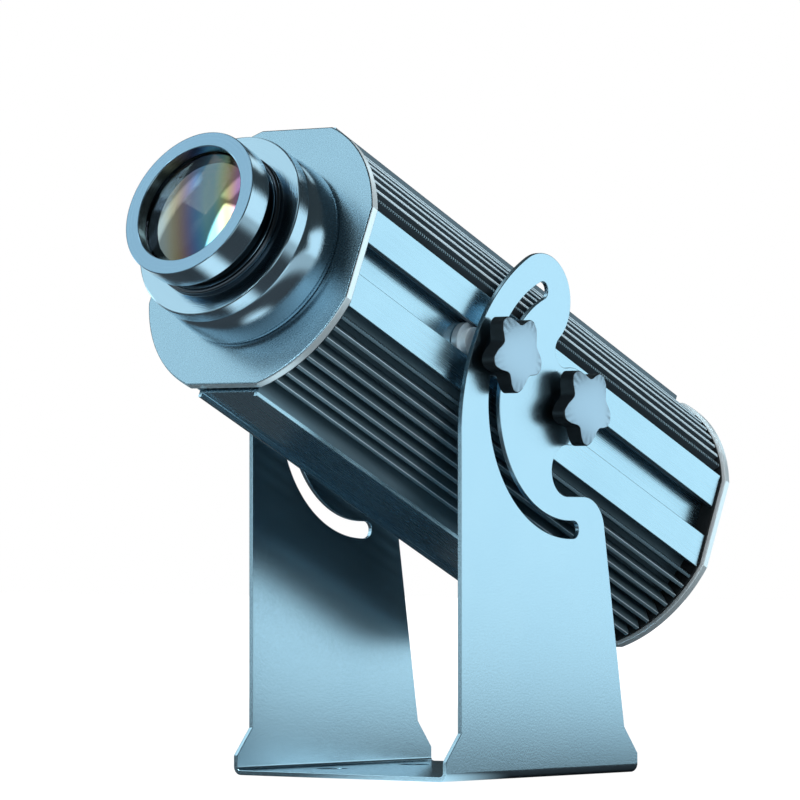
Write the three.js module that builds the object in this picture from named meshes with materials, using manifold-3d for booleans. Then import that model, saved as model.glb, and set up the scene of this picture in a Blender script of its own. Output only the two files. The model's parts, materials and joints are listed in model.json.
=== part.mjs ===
// A gobo projector: a finned aluminium lamp head that tilts in a bent sheet-steel yoke.
// Millimetres, +Z up. The origin is the middle of the yoke's underside, and the lens looks along -Y.

import * as THREE from 'three';
import { mergeVertices, toCreasedNormals } from 'three/addons/utils/BufferGeometryUtils.js';
import Module from 'manifold-3d';

const wasm = await Module();
wasm.setup();

// Clearances and small working sizes
const seatGap = 0.3; // between two pieces that bear on each other
const runGap = 0.35; // radial room round what turns or slides
const overrun = 1; // how far a cutter runs past the face that it cuts
const weldTolerance = 0.0005;
const creaseAngle = THREE.MathUtils.degToRad(32);

// Facets of round forms
const roundSteps = 24;
const ringSteps = 36;
const smallSteps = 12;
const arcSteps = 3; // half of the facets of an arc, as three.js counts them
const yokeArcSteps = 7;
const bendSteps = 2;
const ovalSteps = 32;
const cornerSteps = 6;
const lobeSteps = 6;
const shoulderSteps = 5;
const lensArcSteps = 3;

// Yoke: one steel sheet bent into a U
const sheetThickness = 2.5;
const bendRadius = 2;
const footFront = 102; // ahead of the pivot
const footRear = 57; // behind the pivot
const pivotHeight = 189.5;
const footStraight = 10;
const footFlareTop = 24;
const armFront = 90; // ahead of the pivot
const armRearLow = 45.6; // behind the pivot, at the top of the flare
const armLean = THREE.MathUtils.degToRad(9.4);
const shoulderDrop = 46.3;
const shoulderRound = 18;
const fingerRadius = 20;
const lowerNotchRadius = 13.2;
const upperNotchRadius = 8.5;
const lobeRadius = 24;
const lobeAhead = 24;
const lobeRise = 54;
const hookDrop = 15.1;
const slotRadius = 63.4;
const slotWidth = 9;
const slotTopAngle = THREE.MathUtils.degToRad(68.3); // above the level line ahead of the pivot
const slotEndAngle = THREE.MathUtils.degToRad(92); // below that line
const boltHoleRadius = 4.5;
const baseHoleRadius = 8.75;
const baseHoleAcross = 43;
const baseHoleInset = 46;

// Lamp head: a finned extrusion between two end plates
const restTilt = THREE.MathUtils.degToRad(24.2);
const headFront = 172.7; // ahead of the pivot
const headRear = 143; // behind the pivot
const sideFlat = 62.3; // half width over the side flats
const finReachAcross = 66.8; // half axes of the oval that the fin tips lie on
const finReachUp = 73.5;
const finDepth = 10;
const finsPerCorner = 8;
const finTip = 2;
const finRoot = 2.7;
const boreAcross = 50.5; // half axes of the oval bore
const boreUp = 60;
const railHalfWidth = 19.2;
const railLip = 2;
const railTop = 74.6;
const railFloor = 72.4;
const channelMouth = 16.8;
const channelLip = 3;
const channelUnder = 22;
const channelDepth = 7.5;
const rodAcross = 12;
const rodUp = 66.2;
const rodRadius = 1.9;
const rodHeadRadius = 3.6;
const rodHeadHeight = 2.4;

// End plates and their seals
const plateReachAcross = 68.8;
const plateReachUp = 75.5;
const plateHalfWidth = 65;
const plateHalfHeight = 71.2;
const frontPlateThickness = 5;
const rearPlateThickness = 4;
const plateChamfer = 0.8;
const sealThickness = 1.4;
const sealInset = 2;

// Bolts, channel sliders, spacers and star knobs
const studRadius = 3.9;
const sliderHalfLength = 23;
const spacerRadius = 12;
const spacerThickness = 4.85;
const hubRadius = 9.3;
const hubHeight = 3.2;
const knobTip = 20.5;
const knobValley = 14.2;
const knobThickness = 10;
const knobRound = 1.4;
const knobLobes = 5;
const knobPhase = THREE.MathUtils.degToRad(50) + restTilt; // so that a lobe points straight down at rest
const studInKnob = 7;

// Lens mount, focus ring and lens barrel; each piece starts from the one behind it
const mountTailRadius = 43.7;
const mountTailLength = 8; // through the front plate and its seal
const mountFootRadius = 49.4;
const mountFootHeight = 1.6;
const mountShoulderRadius = 50.4;
const mountShoulderRise = 7;
const mountShoulderLength = 16.9;
const mountShoulderTopRadius = 46.5;
const neckRadius = 36.7;
const focusRingRadius = 49.4;
const focusRingWidth = 8.6;
const focusRingGap = 0.8;
const focusRingChamfer = 0.6;
const beadRadius = 38.7;
const beadThickness = 2.7;
const barrelRadius = 34.6;
const barrelBore = 32.4;
const barrelInnerRadius = 30;
const barrelTail = 4; // behind the mount's foot
const barrelReach = 18; // ahead of the focus ring
const frontRingOverlap = 7;
const frontRingReach = 6.7;
const frontRingRadius = 39.2;
const frontRingBore = 31.5;
const frontRingChamfer = 0.5;
const frontLensEdge = 3;
const frontLensBulge = 5;
const frontLensInset = 0.7;
const rearLensEdge = 7.4;
const rearLensBulge = 3;
const rearLensInset = 9.6;
const lensSpacerRadius = 30.6;

// Gobo stage: carrier plate, ring gear, glass disc, motor and pinion
const carrierInset = 44.7; // from the head's front end to the carrier's back
const carrierThickness = 6;
const collarRadius = 23.7;
const collarBore = 19;
const collarLength = 4;
const gearModule = 1.5;
const ringGearTeeth = 40;
const pinionTeeth = 10;
const toothRootShare = 0.33; // half the tooth, as a share of the pitch
const toothTipShare = 0.12;
const addendumShare = 0.85; // of the module
const dedendumShare = 1.2;
const gearThickness = 6;
const gearLip = 2;
const gearRimRadius = 28;
const gearRimHeight = 3.4;
const goboRadius = 24.4;
const goboThickness = 1.1;
const goboKeeperThickness = 1.4;
const goboWindow = 19;
const motorRadius = 11.5;
const motorLength = 20;
const motorShaftRadius = 1.5;
const motorBossRadius = 3.5;

// Light source and condenser, behind the gobo
const condenserToGobo = 31.7;
const condenserRadius = 34;
const condenserWall = 3;
const condenserLength = 64;
const condenserFlange = 42;
const condenserFlangeThickness = 3;
const condenserLensPlace = 26;
const condenserLensEdge = 5;
const condenserLensBulge = 7;
const condenserSeat = 2;
const ledSize = 38;
const ledThickness = 3;
const spreaderThickness = 8;
const spreaderFinLength = 18;
const spreaderFinThickness = 2;
const spreaderFinCount = 9;
const spreaderFinSpan = 64;
const spreaderFinHeight = 70;

// Fan, driver and their tray
const fanToFins = 5.5;
const fanSize = 56;
const fanThickness = 15;
const fanBoreRadius = 26;
const fanHubRadius = 11;
const fanBladeCount = 7;
const fanBladeThickness = 1.6;
const fanBladePitch = THREE.MathUtils.degToRad(35);
const fanStrutWidth = 4;
const fanStrutThickness = 2.5;
const fanCorner = 4;
const trayDrop = 30.3;
const trayThickness = 2;
const trayToRear = 9;
const driverWidth = 64;
const driverHeight = 26;
const driverToRear = 15;
const driverToFan = 21.5;
const driverRound = 4;

// Cable gland on the rear plate
const glandDrop = 34;
const glandThreadRadius = 7.8;
const glandBore = 3.6;
const glandHexRadius = 12.6;
const glandHexHeight = 6;
const glandCapRadius = 11;
const glandCapHeight = 14;
const glandDomeShare = 0.75; // of the cap's height
const glandMouthRadius = 7.2;
const glandNutRadius = 12;
const glandNutHeight = 4;
const glandThreadLength = 9;

// Places along the lens axis, ahead of the pivot
const frontPlateBack = headFront + 2 * seatGap + sealThickness;
const frontPlateFace = frontPlateBack + frontPlateThickness;
const mountBase = frontPlateFace + seatGap;
const mountShoulderBack = mountBase + mountShoulderRise;
const mountShoulderFront = mountShoulderBack + mountShoulderLength;
const focusRingBack = mountShoulderFront + focusRingGap;
const focusRingFront = focusRingBack + focusRingWidth;
const mountNeckEnd = focusRingFront + 2 * seatGap + beadThickness;
const barrelBack = mountBase - barrelTail;
const barrelFront = focusRingFront + barrelReach;
const frontLensBack = barrelFront - frontLensInset - frontLensEdge;
const rearLensBack = barrelBack + rearLensInset;
const carrierBack = headFront - carrierInset;
const carrierFront = carrierBack + carrierThickness;
const condenserFront = carrierBack - condenserToGobo;
const condenserBack = condenserFront - condenserLength;
const spreaderFront = condenserBack - seatGap;
const spreaderBack = spreaderFront - spreaderThickness;
const fanFront = spreaderBack - spreaderFinLength - fanToFins;
const fanBack = fanFront - fanThickness;
const fanDrop = trayDrop - fanSize / 2 - seatGap;
const rearPlateFront = -headRear - 2 * seatGap - sealThickness;
const rearPlateBack = rearPlateFront - rearPlateThickness;

// Half width of the yoke, over the spacers and the sheet
const yokeHalfWidth = sideFlat + spacerThickness + 2 * seatGap + sheetThickness;

// Finishes
const finish = {
  yoke: { color: '#93c3e0', roughness: 0.42, metalness: 0.55 },
  housing: { color: '#7fa9bf', roughness: 0.35, metalness: 0.7 },
  plate: { color: '#8fb9cc', roughness: 0.4, metalness: 0.6 },
  lensMetal: { color: '#6f8fa3', roughness: 0.25, metalness: 0.85 },
  steel: { color: '#b9c2c8', roughness: 0.3, metalness: 0.9 },
  plastic: { color: '#2a3036', roughness: 0.5, metalness: 0 },
  rubber: { color: '#15181b', roughness: 0.85, metalness: 0 },
  glass: { color: '#b8c6d6', roughness: 0.05, metalness: 0, transparent: true, opacity: 0.45 },
  brass: { color: '#b99a4a', roughness: 0.35, metalness: 0.9 },
  aluminium: { color: '#aab2b8', roughness: 0.4, metalness: 0.85 },
  lamp: { color: '#d8cf74', roughness: 0.6, metalness: 0 },
  driverCase: { color: '#8d9498', roughness: 0.45, metalness: 0.6 },
};

// Solids: every piece goes through Manifold, so that it is closed and can be cut and joined

function signedVolume(places, corners) {
  let volume = 0;
  const [a, b, c] = [new THREE.Vector3(), new THREE.Vector3(), new THREE.Vector3()];
  for (let i = 0; i < corners.length; i += 3) {
    a.fromArray(places, 3 * corners[i]);
    b.fromArray(places, 3 * corners[i + 1]);
    c.fromArray(places, 3 * corners[i + 2]);
    volume += a.dot(b.cross(c));
  }
  return volume;
}

function solidFrom(geometry) {
  const bare = geometry.clone();
  bare.deleteAttribute('normal');
  bare.deleteAttribute('uv');
  const merged = mergeVertices(bare, weldTolerance);
  const places = Float32Array.from(merged.attributes.position.array);
  const corners = [];
  for (let i = 0; i < merged.index.count; i += 3) {
    const face = [0, 1, 2].map((step) => merged.index.getX(i + step));
    if (new Set(face).size === 3) corners.push(...face);
  }
  if (signedVolume(places, corners) < 0) corners.reverse();
  const mesh = new wasm.Mesh({ numProp: 3, vertProperties: places, triVerts: Uint32Array.from(corners) });
  return new wasm.Manifold(mesh);
}

function geometryFrom(solid) {
  const mesh = solid.getMesh();
  const geometry = new THREE.BufferGeometry();
  geometry.setAttribute('position', new THREE.BufferAttribute(mesh.vertProperties, 3));
  geometry.setIndex(new THREE.BufferAttribute(mesh.triVerts, 1));
  return toCreasedNormals(geometry, creaseAngle);
}

// In the head's own frame a solid runs along the lens axis, and "ahead" is the distance towards the lens.

function extrudeAhead(shape, back, front, options = {}) {
  const settings = { depth: front - back, bevelEnabled: false, curveSegments: arcSteps, ...options };
  const geometry = new THREE.ExtrudeGeometry(shape, settings);
  geometry.rotateX(Math.PI / 2);
  geometry.translate(0, -back, 0);
  return solidFrom(geometry);
}

// A plate whose outline is drawn in y and z, and whose thickness runs along x.
function extrudeAcross(shape, inner, outer, options = {}) {
  const settings = { depth: outer - inner, bevelEnabled: false, curveSegments: arcSteps, ...options };
  const geometry = new THREE.ExtrudeGeometry(shape, settings);
  const turn = new THREE.Matrix4().makeBasis(
    new THREE.Vector3(0, 1, 0), new THREE.Vector3(0, 0, 1), new THREE.Vector3(1, 0, 0));
  geometry.applyMatrix4(turn);
  geometry.translate(inner, 0, 0);
  return solidFrom(geometry);
}

// A turned piece about the lens axis, from a closed profile of [radius, ahead] points.
function turnAhead(profile, steps = ringSteps) {
  const points = [...profile, profile[0]].map(([radius, ahead]) => new THREE.Vector2(radius, ahead));
  const geometry = new THREE.LatheGeometry(points, steps);
  geometry.rotateX(Math.PI);
  return solidFrom(geometry);
}

function rodAhead(radius, back, front, steps = smallSteps) {
  return turnAhead([[0, back], [radius, back], [radius, front], [0, front]], steps);
}

function ringAhead(inner, outer, back, front, steps = roundSteps) {
  return turnAhead([[inner, back], [outer, back], [outer, front], [inner, front]], steps);
}

function rodAcrossX(radius, inner, outer, steps = smallSteps) {
  const geometry = new THREE.CylinderGeometry(radius, radius, outer - inner, steps);
  geometry.rotateZ(Math.PI / 2);
  geometry.translate((inner + outer) / 2, 0, 0);
  return solidFrom(geometry);
}

function blockAhead(width, height, back, front) {
  const geometry = new THREE.BoxGeometry(width, front - back, height);
  geometry.translate(0, -(back + front) / 2, 0);
  return solidFrom(geometry);
}

function joined(solids) {
  return solids.reduce((whole, solid) => whole.add(solid));
}

function part(name, solid, look) {
  const mesh = new THREE.Mesh(geometryFrom(solid), new THREE.MeshStandardMaterial(look));
  mesh.name = name;
  return mesh;
}

function at(x, ahead, up, ...meshes) {
  const group = new THREE.Group();
  group.position.set(x, -ahead, up);
  group.add(...meshes);
  return group;
}

// Outlines

function ovalPath(across, up, steps = ovalSteps, centre = [0, 0]) {
  const path = new THREE.Path();
  const turn = (2 * Math.PI) / steps;
  path.setFromPoints(Array.from({ length: steps }, (_, step) =>
    new THREE.Vector2(centre[0] + across * Math.cos(step * turn), centre[1] + up * Math.sin(step * turn))));
  return path;
}

function circlePath(x, y, radius) {
  return ovalPath(radius, radius, smallSteps, [x, y]);
}

// The first corner's points, repeated in the other three corners by mirroring.
function fourCorners(points) {
  const back = [...points].reverse();
  return new THREE.Shape([
    ...points.map(([x, y]) => new THREE.Vector2(x, y)),
    ...back.map(([x, y]) => new THREE.Vector2(-x, y)),
    ...points.map(([x, y]) => new THREE.Vector2(-x, -y)),
    ...back.map(([x, y]) => new THREE.Vector2(x, -y)),
  ]);
}

function onOval(across, up, angle) {
  const reach = 1 / Math.hypot(Math.cos(angle) / across, Math.sin(angle) / up);
  return [reach * Math.cos(angle), reach * Math.sin(angle)];
}

function ovalUpAt(across, up, x) {
  return up * Math.sqrt(1 - (x / across) ** 2);
}

function ovalAcrossAt(across, up, y) {
  return across * Math.sqrt(1 - (y / up) ** 2);
}

// An oval with flats on all four sides: the end plates and their seals.
function flatOval(inset) {
  const [across, up] = [plateReachAcross - inset, plateReachUp - inset];
  const [side, top] = [plateHalfWidth - inset, plateHalfHeight - inset];
  const from = Math.atan2(ovalUpAt(across, up, side), side);
  const to = Math.atan2(top, ovalAcrossAt(across, up, top));
  return fourCorners(Array.from({ length: cornerSteps + 1 }, (_, step) =>
    onOval(across, up, from + ((to - from) * step) / cornerSteps)));
}

// Yoke outline, drawn in y and z from the pivot; y grows towards the rear.
function yokeSideShape() {
  const floor = -pivotHeight;
  const lobe = new THREE.Vector2(-lobeAhead, lobeRise);

  // The hook's back is a large arc that starts level with the arm's front edge and ends in the lobe.
  const reach = armFront - lobeRadius;
  const hookY = (lobe.x ** 2 + (lobe.y + hookDrop) ** 2 - reach ** 2) / (2 * (reach + lobe.x));
  const hook = new THREE.Vector2(hookY, -hookDrop);
  const hookRadius = hookY + armFront;
  const hookTurn = Math.atan2(lobe.y - hook.y, lobe.x - hook.x);

  // The upper notch is tangent to the lobe and to the finger that holds the pivot bolt.
  const toLobe = lobeRadius + upperNotchRadius;
  const toPivot = fingerRadius + upperNotchRadius;
  const along = (toPivot ** 2 - toLobe ** 2 + lobe.lengthSq()) / (2 * lobe.length());
  const aside = Math.sqrt(toPivot ** 2 - along ** 2);
  const way = lobe.clone().normalize();
  const upper = new THREE.Vector2(way.x * along + way.y * aside, way.y * along - way.x * aside);

  // The lower notch is tangent to the finger and to the level shoulder.
  const lowerZ = lowerNotchRadius - shoulderDrop;
  const lowerY = -Math.sqrt((fingerRadius + lowerNotchRadius) ** 2 - lowerZ ** 2);
  const lower = new THREE.Vector2(lowerY, lowerZ);

  // The shoulder's corner is tangent to the leaning rear edge.
  const cornerZ = -shoulderDrop - shoulderRound;
  const rise = cornerZ - (floor + footFlareTop);
  const cornerY = armRearLow - (shoulderRound + rise * Math.sin(armLean)) / Math.cos(armLean);

  const angleTo = (from, to) => Math.atan2(to.y - from.y, to.x - from.x);
  const pivot = new THREE.Vector2(0, 0);
  const shape = new THREE.Shape();
  shape.moveTo(-footFront, floor);
  shape.lineTo(footRear, floor);
  shape.lineTo(footRear, floor + footStraight);
  shape.lineTo(armRearLow, floor + footFlareTop);
  shape.absarc(cornerY, cornerZ, shoulderRound, armLean, Math.PI / 2, false);
  shape.absarc(lower.x, lower.y, lowerNotchRadius, -Math.PI / 2, angleTo(lower, pivot) - 2 * Math.PI, true);
  shape.absarc(0, 0, fingerRadius, angleTo(pivot, lower), angleTo(pivot, upper), false);
  shape.absarc(upper.x, upper.y, upperNotchRadius, angleTo(upper, pivot), angleTo(upper, lobe), true);
  shape.absarc(lobe.x, lobe.y, lobeRadius, angleTo(lobe, upper), hookTurn, false);
  shape.absarc(hook.x, hook.y, hookRadius, hookTurn, Math.PI, false);
  shape.lineTo(-armFront, floor + footFlareTop);
  shape.lineTo(-footFront, floor + footStraight);
  shape.closePath();

  shape.holes.push(circlePath(0, 0, boltHoleRadius), slotPath());
  return shape;
}

function slotPath() {
  const [half, top, end] = [slotWidth / 2, Math.PI - slotTopAngle, Math.PI + slotEndAngle];
  const centre = (angle) => [slotRadius * Math.cos(angle), slotRadius * Math.sin(angle)];
  const path = new THREE.Path();
  path.absarc(0, 0, slotRadius + half, top, end, false);
  path.absarc(...centre(end), half, end, end + Math.PI, false);
  path.absarc(0, 0, slotRadius - half, end, top, true);
  path.absarc(...centre(top), half, top - Math.PI, top, false);
  return path;
}

// The U that the sheet is bent to, seen from the front.
function yokeBendShape() {
  const [half, floor, top] = [yokeHalfWidth, -pivotHeight, lobeRise + lobeRadius + overrun];
  const outer = bendRadius + sheetThickness;
  const inside = half - sheetThickness;
  const shape = new THREE.Shape();
  shape.moveTo(-inside, top);
  shape.lineTo(-half, top);
  shape.absarc(-half + outer, floor + outer, outer, Math.PI, 1.5 * Math.PI, false);
  shape.absarc(half - outer, floor + outer, outer, 1.5 * Math.PI, 2 * Math.PI, false);
  shape.lineTo(half, top);
  shape.lineTo(inside, top);
  shape.absarc(half - outer, floor + outer, bendRadius, 0, -Math.PI / 2, true);
  shape.absarc(-half + outer, floor + outer, bendRadius, -Math.PI / 2, -Math.PI, true);
  shape.closePath();
  return shape;
}

function makeYoke() {
  const bent = extrudeAhead(
    yokeBendShape(), -footRear - overrun, footFront + overrun, { curveSegments: bendSteps });
  const side = extrudeAcross(
    yokeSideShape(), -yokeHalfWidth - overrun, yokeHalfWidth + overrun, { curveSegments: yokeArcSteps });
  const floor = -pivotHeight;
  const drill = new THREE.CylinderGeometry(
    baseHoleRadius, baseHoleRadius, sheetThickness + 2 * overrun, roundSteps / 2);
  drill.rotateX(Math.PI / 2);
  let yoke = bent.intersect(side);
  for (const across of [-baseHoleAcross, baseHoleAcross]) {
    for (const y of [-footFront + baseHoleInset, footRear - baseHoleInset]) {
      yoke = yoke.subtract(solidFrom(drill.clone().translate(across, y, floor + sheetThickness / 2)));
    }
  }
  return part('yoke', yoke, finish.yoke);
}

// One corner of the head's section: half a side channel, eight fins, and half a rail.
function headCorner() {
  const [coreAcross, coreUp] = [finReachAcross - finDepth, finReachUp - finDepth];
  const floor = sideFlat - channelDepth;
  const lip = sideFlat - channelLip;
  const flatUp = ovalUpAt(finReachAcross, finReachUp, sideFlat);
  const flatAngle = Math.atan2(flatUp, sideFlat);
  const railRootUp = ovalUpAt(coreAcross, coreUp, railHalfWidth);
  const railAngle = Math.atan2(railRootUp, railHalfWidth);
  const points = [
    [floor, channelUnder / 2], [lip, channelUnder / 2], [lip, channelMouth / 2],
    [sideFlat, channelMouth / 2], [sideFlat, flatUp], onOval(coreAcross, coreUp, flatAngle),
  ];
  const pitch = (railAngle - flatAngle) / (finsPerCorner + 1);
  for (let fin = 1; fin <= finsPerCorner; fin += 1) {
    const angle = flatAngle + fin * pitch;
    const halfRoot = finRoot / 2 / coreUp;
    const halfTip = finTip / 2 / finReachUp;
    points.push(onOval(coreAcross, coreUp, angle - halfRoot));
    points.push(onOval(finReachAcross, finReachUp, angle - halfTip));
    points.push(onOval(finReachAcross, finReachUp, angle + halfTip));
    points.push(onOval(coreAcross, coreUp, angle + halfRoot));
  }
  points.push([railHalfWidth, railRootUp], [railHalfWidth, railTop]);
  points.push([railHalfWidth - railLip, railTop], [railHalfWidth - railLip, railFloor]);
  return points;
}

function rodPlaces() {
  return [[1, 1], [-1, 1], [-1, -1], [1, -1]].map(([x, up]) => [x * rodAcross, up * rodUp]);
}

function makeExtrusion() {
  const shape = fourCorners(headCorner());
  shape.holes.push(ovalPath(boreAcross, boreUp));
  for (const [x, up] of rodPlaces()) shape.holes.push(circlePath(x, up, rodRadius + seatGap));
  return part('housing_extrusion', extrudeAhead(shape, -headRear, headFront), finish.housing);
}

// End plates

function bevelled(shape, back, front, edge) {
  const bevel = { bevelEnabled: true, bevelThickness: edge, bevelSize: edge, bevelOffset: -edge, bevelSegments: 1 };
  return extrudeAhead(shape, back + edge, front - edge, bevel);
}

function makeFrontPlate() {
  const [back, front] = [frontPlateBack, frontPlateFace];
  let plate = bevelled(flatOval(0), back, front, plateChamfer);
  plate = plate.subtract(rodAhead(mountTailRadius + seatGap, back - overrun, front + overrun, ringSteps));
  const blind = (back + front) / 2 + seatGap;
  for (const [x, up] of rodPlaces()) {
    plate = plate.subtract(rodAhead(rodRadius + seatGap, back - overrun, blind).translate(x, 0, up));
  }
  return part('front_plate', plate, finish.plate);
}

function makeSeal(name, back) {
  const shape = flatOval(sealInset);
  shape.holes.push(ovalPath(boreAcross + seatGap, boreUp + seatGap));
  for (const [x, up] of rodPlaces()) shape.holes.push(circlePath(x, up, rodRadius + seatGap));
  return part(name, extrudeAhead(shape, back, back + sealThickness), finish.rubber);
}

function makeRearPlate() {
  const [back, front] = [rearPlateBack, rearPlateFront];
  let plate = bevelled(flatOval(0), back, front, plateChamfer);
  for (const [x, up] of rodPlaces()) {
    plate = plate.subtract(rodAhead(rodRadius + seatGap, back - overrun, front + overrun).translate(x, 0, up));
  }
  const hole = rodAhead(glandThreadRadius + seatGap, back - overrun, front + overrun, roundSteps / 2);
  return part('rear_plate', plate.subtract(hole.translate(0, 0, -glandDrop)), finish.plate);
}

function makeTieRods() {
  const tip = frontPlateBack + frontPlateThickness / 2;
  const seat = rearPlateBack - seatGap;
  return rodPlaces().map(([x, up], index) => {
    const shank = rodAhead(rodRadius, seat - overrun, tip, smallSteps / 2);
    const head = rodAhead(rodHeadRadius, seat - rodHeadHeight, seat);
    return at(x, 0, up, part(`tie_rod_${index + 1}`, shank.add(head), finish.steel));
  });
}

// Bolts: each side has a pivot bolt and a locking bolt in the head's channel

function capsuleShape(halfLength, radius) {
  const shape = new THREE.Shape();
  shape.absarc(halfLength - radius, 0, radius, -Math.PI / 2, Math.PI / 2, false);
  shape.absarc(radius - halfLength, 0, radius, Math.PI / 2, 1.5 * Math.PI, false);
  return shape;
}

function makeSlider(name) {
  const floor = sideFlat - channelDepth + seatGap;
  const neck = sideFlat - channelLip - seatGap;
  const foot = extrudeAcross(capsuleShape(sliderHalfLength, channelUnder / 2 - seatGap), floor, neck);
  const top = extrudeAcross(capsuleShape(sliderHalfLength, channelMouth / 2 - seatGap), neck - overrun, sideFlat);
  const bore = rodAcrossX(studRadius + seatGap, floor - overrun, sideFlat + overrun);
  return part(name, foot.add(top).subtract(bore), finish.steel);
}

function makeSpacer(name) {
  const inner = sideFlat + seatGap;
  const outer = inner + spacerThickness;
  const ring = rodAcrossX(spacerRadius, inner, outer, roundSteps / 2);
  const bore = rodAcrossX(studRadius + seatGap, inner - overrun, outer + overrun);
  return part(name, ring.subtract(bore), finish.steel);
}

function starShape() {
  const mean = (knobTip + knobValley) / 2;
  const swing = (knobTip - knobValley) / 2;
  const steps = knobLobes * lobeSteps;
  return new THREE.Shape(Array.from({ length: steps }, (_, step) => {
    const turn = (2 * Math.PI * step) / steps;
    const radius = mean + swing * Math.cos(knobLobes * turn);
    return new THREE.Vector2(radius * Math.cos(turn + knobPhase), radius * Math.sin(turn + knobPhase));
  }));
}

function makeKnob(name) {
  const inner = yokeHalfWidth + seatGap;
  const outer = inner + hubHeight + knobThickness;
  const bevel = {
    bevelEnabled: true, bevelThickness: knobRound, bevelSize: knobRound, bevelOffset: -knobRound, bevelSegments: 1,
  };
  const star = extrudeAcross(starShape(), inner + hubHeight + knobRound, outer - knobRound, bevel);
  const hub = rodAcrossX(hubRadius, inner, inner + hubHeight + overrun, roundSteps / 2);
  const bore = rodAcrossX(studRadius + seatGap, inner - overrun, inner + hubHeight + studInKnob);
  return part(name, star.add(hub).subtract(bore), finish.plastic);
}

function makeStud(name) {
  const inner = sideFlat - channelDepth + seatGap;
  const outer = yokeHalfWidth + hubHeight + studInKnob;
  return part(name, rodAcrossX(studRadius, inner, outer), finish.steel);
}

function makeBoltGroups() {
  const groups = [];
  for (const [kind, ahead] of [['pivot', 0], ['lock', slotRadius]]) {
    for (const side of ['right', 'left']) {
      const group = at(0, ahead, 0,
        makeSlider(`${kind}_slider_${side}`), makeSpacer(`${kind}_spacer_${side}`),
        makeStud(`${kind}_stud_${side}`), makeKnob(`${kind}_knob_${side}`));
      if (side === 'left') group.rotation.z = Math.PI;
      groups.push(group);
    }
  }
  return groups;
}

// Lens end

function makeLensMount() {
  const shoulder = Array.from({ length: shoulderSteps }, (_, step) => {
    const turn = (Math.PI / 2) * (step / (shoulderSteps - 1));
    const rise = mountShoulderTopRadius + (mountShoulderRadius - mountShoulderTopRadius) * Math.cos(turn);
    const ahead = mountShoulderBack + (mountShoulderFront - mountShoulderBack) * Math.sin(turn);
    return [rise, ahead];
  });
  const bore = barrelRadius + runGap;
  const tailEnd = mountBase - mountTailLength;
  const profile = [
    [bore, tailEnd], [mountTailRadius, tailEnd], [mountTailRadius, mountBase], [mountFootRadius, mountBase],
    [mountFootRadius, mountBase + mountFootHeight], [mountShoulderRadius, mountBase + 2 * mountFootHeight],
    ...shoulder, [neckRadius, mountShoulderFront], [neckRadius, mountNeckEnd], [bore, mountNeckEnd],
  ];
  return part('lens_mount', turnAhead(profile), finish.lensMetal);
}

function makeFocusRing() {
  const [inner, outer, edge] = [neckRadius + runGap, focusRingRadius, focusRingChamfer];
  const profile = [
    [inner, focusRingBack], [outer - edge, focusRingBack], [outer, focusRingBack + edge],
    [outer, focusRingFront - edge], [outer - edge, focusRingFront], [inner, focusRingFront],
  ];
  return part('focus_ring', turnAhead(profile), finish.lensMetal);
}

function makeFocusKeeper() {
  const back = focusRingFront + seatGap;
  const [inner, edge] = [neckRadius + seatGap, beadThickness / 3];
  const profile = [
    [inner, back], [beadRadius - edge, back], [beadRadius, back + edge],
    [beadRadius, back + 2 * edge], [beadRadius - edge, back + beadThickness], [inner, back + beadThickness],
  ];
  return part('focus_ring_keeper', turnAhead(profile), finish.lensMetal);
}

function makeBarrel() {
  const step = rearLensBack - 2 * seatGap;
  const profile = [
    [barrelInnerRadius, barrelBack], [barrelRadius, barrelBack],
    [barrelRadius, barrelFront], [barrelBore, barrelFront], [barrelBore, step], [barrelInnerRadius, step],
  ];
  return part('lens_barrel', turnAhead(profile), finish.lensMetal);
}

function makeFrontRing() {
  const edge = frontRingChamfer;
  const seat = barrelFront + seatGap;
  const back = barrelFront - frontRingOverlap;
  const front = barrelFront + frontRingReach;
  const profile = [
    [barrelRadius + seatGap, back], [frontRingRadius - edge, back],
    [frontRingRadius, back + edge], [frontRingRadius, front - edge],
    [frontRingRadius - edge, front], [frontRingBore + edge, front],
    [frontRingBore, front - edge], [frontRingBore, seat], [barrelRadius + seatGap, seat],
  ];
  return part('front_ring', turnAhead(profile), finish.lensMetal);
}

// A lens with a flat rim: its two faces bulge by different amounts.
function lensProfile(radius, back, edge, frontBulge, backBulge) {
  const face = (bulge, rim, sign) => {
    const steps = bulge > 0 ? lensArcSteps : 1;
    return Array.from({ length: steps + 1 }, (_, step) =>
      [(radius * step) / steps, rim + sign * bulge * (1 - (step / steps) ** 2)]);
  };
  return [...face(backBulge, back, -1), ...face(frontBulge, back + edge, 1).reverse()];
}

function makeLens(name, radius, back, edge, frontBulge, backBulge) {
  return part(name, turnAhead(lensProfile(radius, back, edge, frontBulge, backBulge), roundSteps), finish.glass);
}

function makeBarrelLenses() {
  const radius = barrelBore - seatGap;
  const spacerBack = rearLensBack + rearLensEdge + seatGap;
  const spacer = ringAhead(lensSpacerRadius, radius, spacerBack, frontLensBack - seatGap);
  return [
    makeLens('front_lens', radius, frontLensBack, frontLensEdge, frontLensBulge, 0),
    makeLens('rear_lens', radius, rearLensBack, rearLensEdge, 0, rearLensBulge),
    part('lens_spacer', spacer, finish.lensMetal),
  ];
}

// Light source and condenser

function makeSpreader() {
  const front = spreaderFront;
  const plate = new THREE.Shape(ovalPath(boreAcross - seatGap, boreUp - seatGap).getPoints());
  const solids = [extrudeAhead(plate, spreaderBack, front)];
  const pitch = spreaderFinSpan / (spreaderFinCount - 1);
  for (let fin = 0; fin < spreaderFinCount; fin += 1) {
    const x = fin * pitch - spreaderFinSpan / 2;
    const blade = blockAhead(spreaderFinThickness, spreaderFinHeight, spreaderBack - spreaderFinLength, front);
    solids.push(blade.translate(x, 0, 0));
  }
  return part('heat_spreader', joined(solids), finish.aluminium);
}

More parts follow.
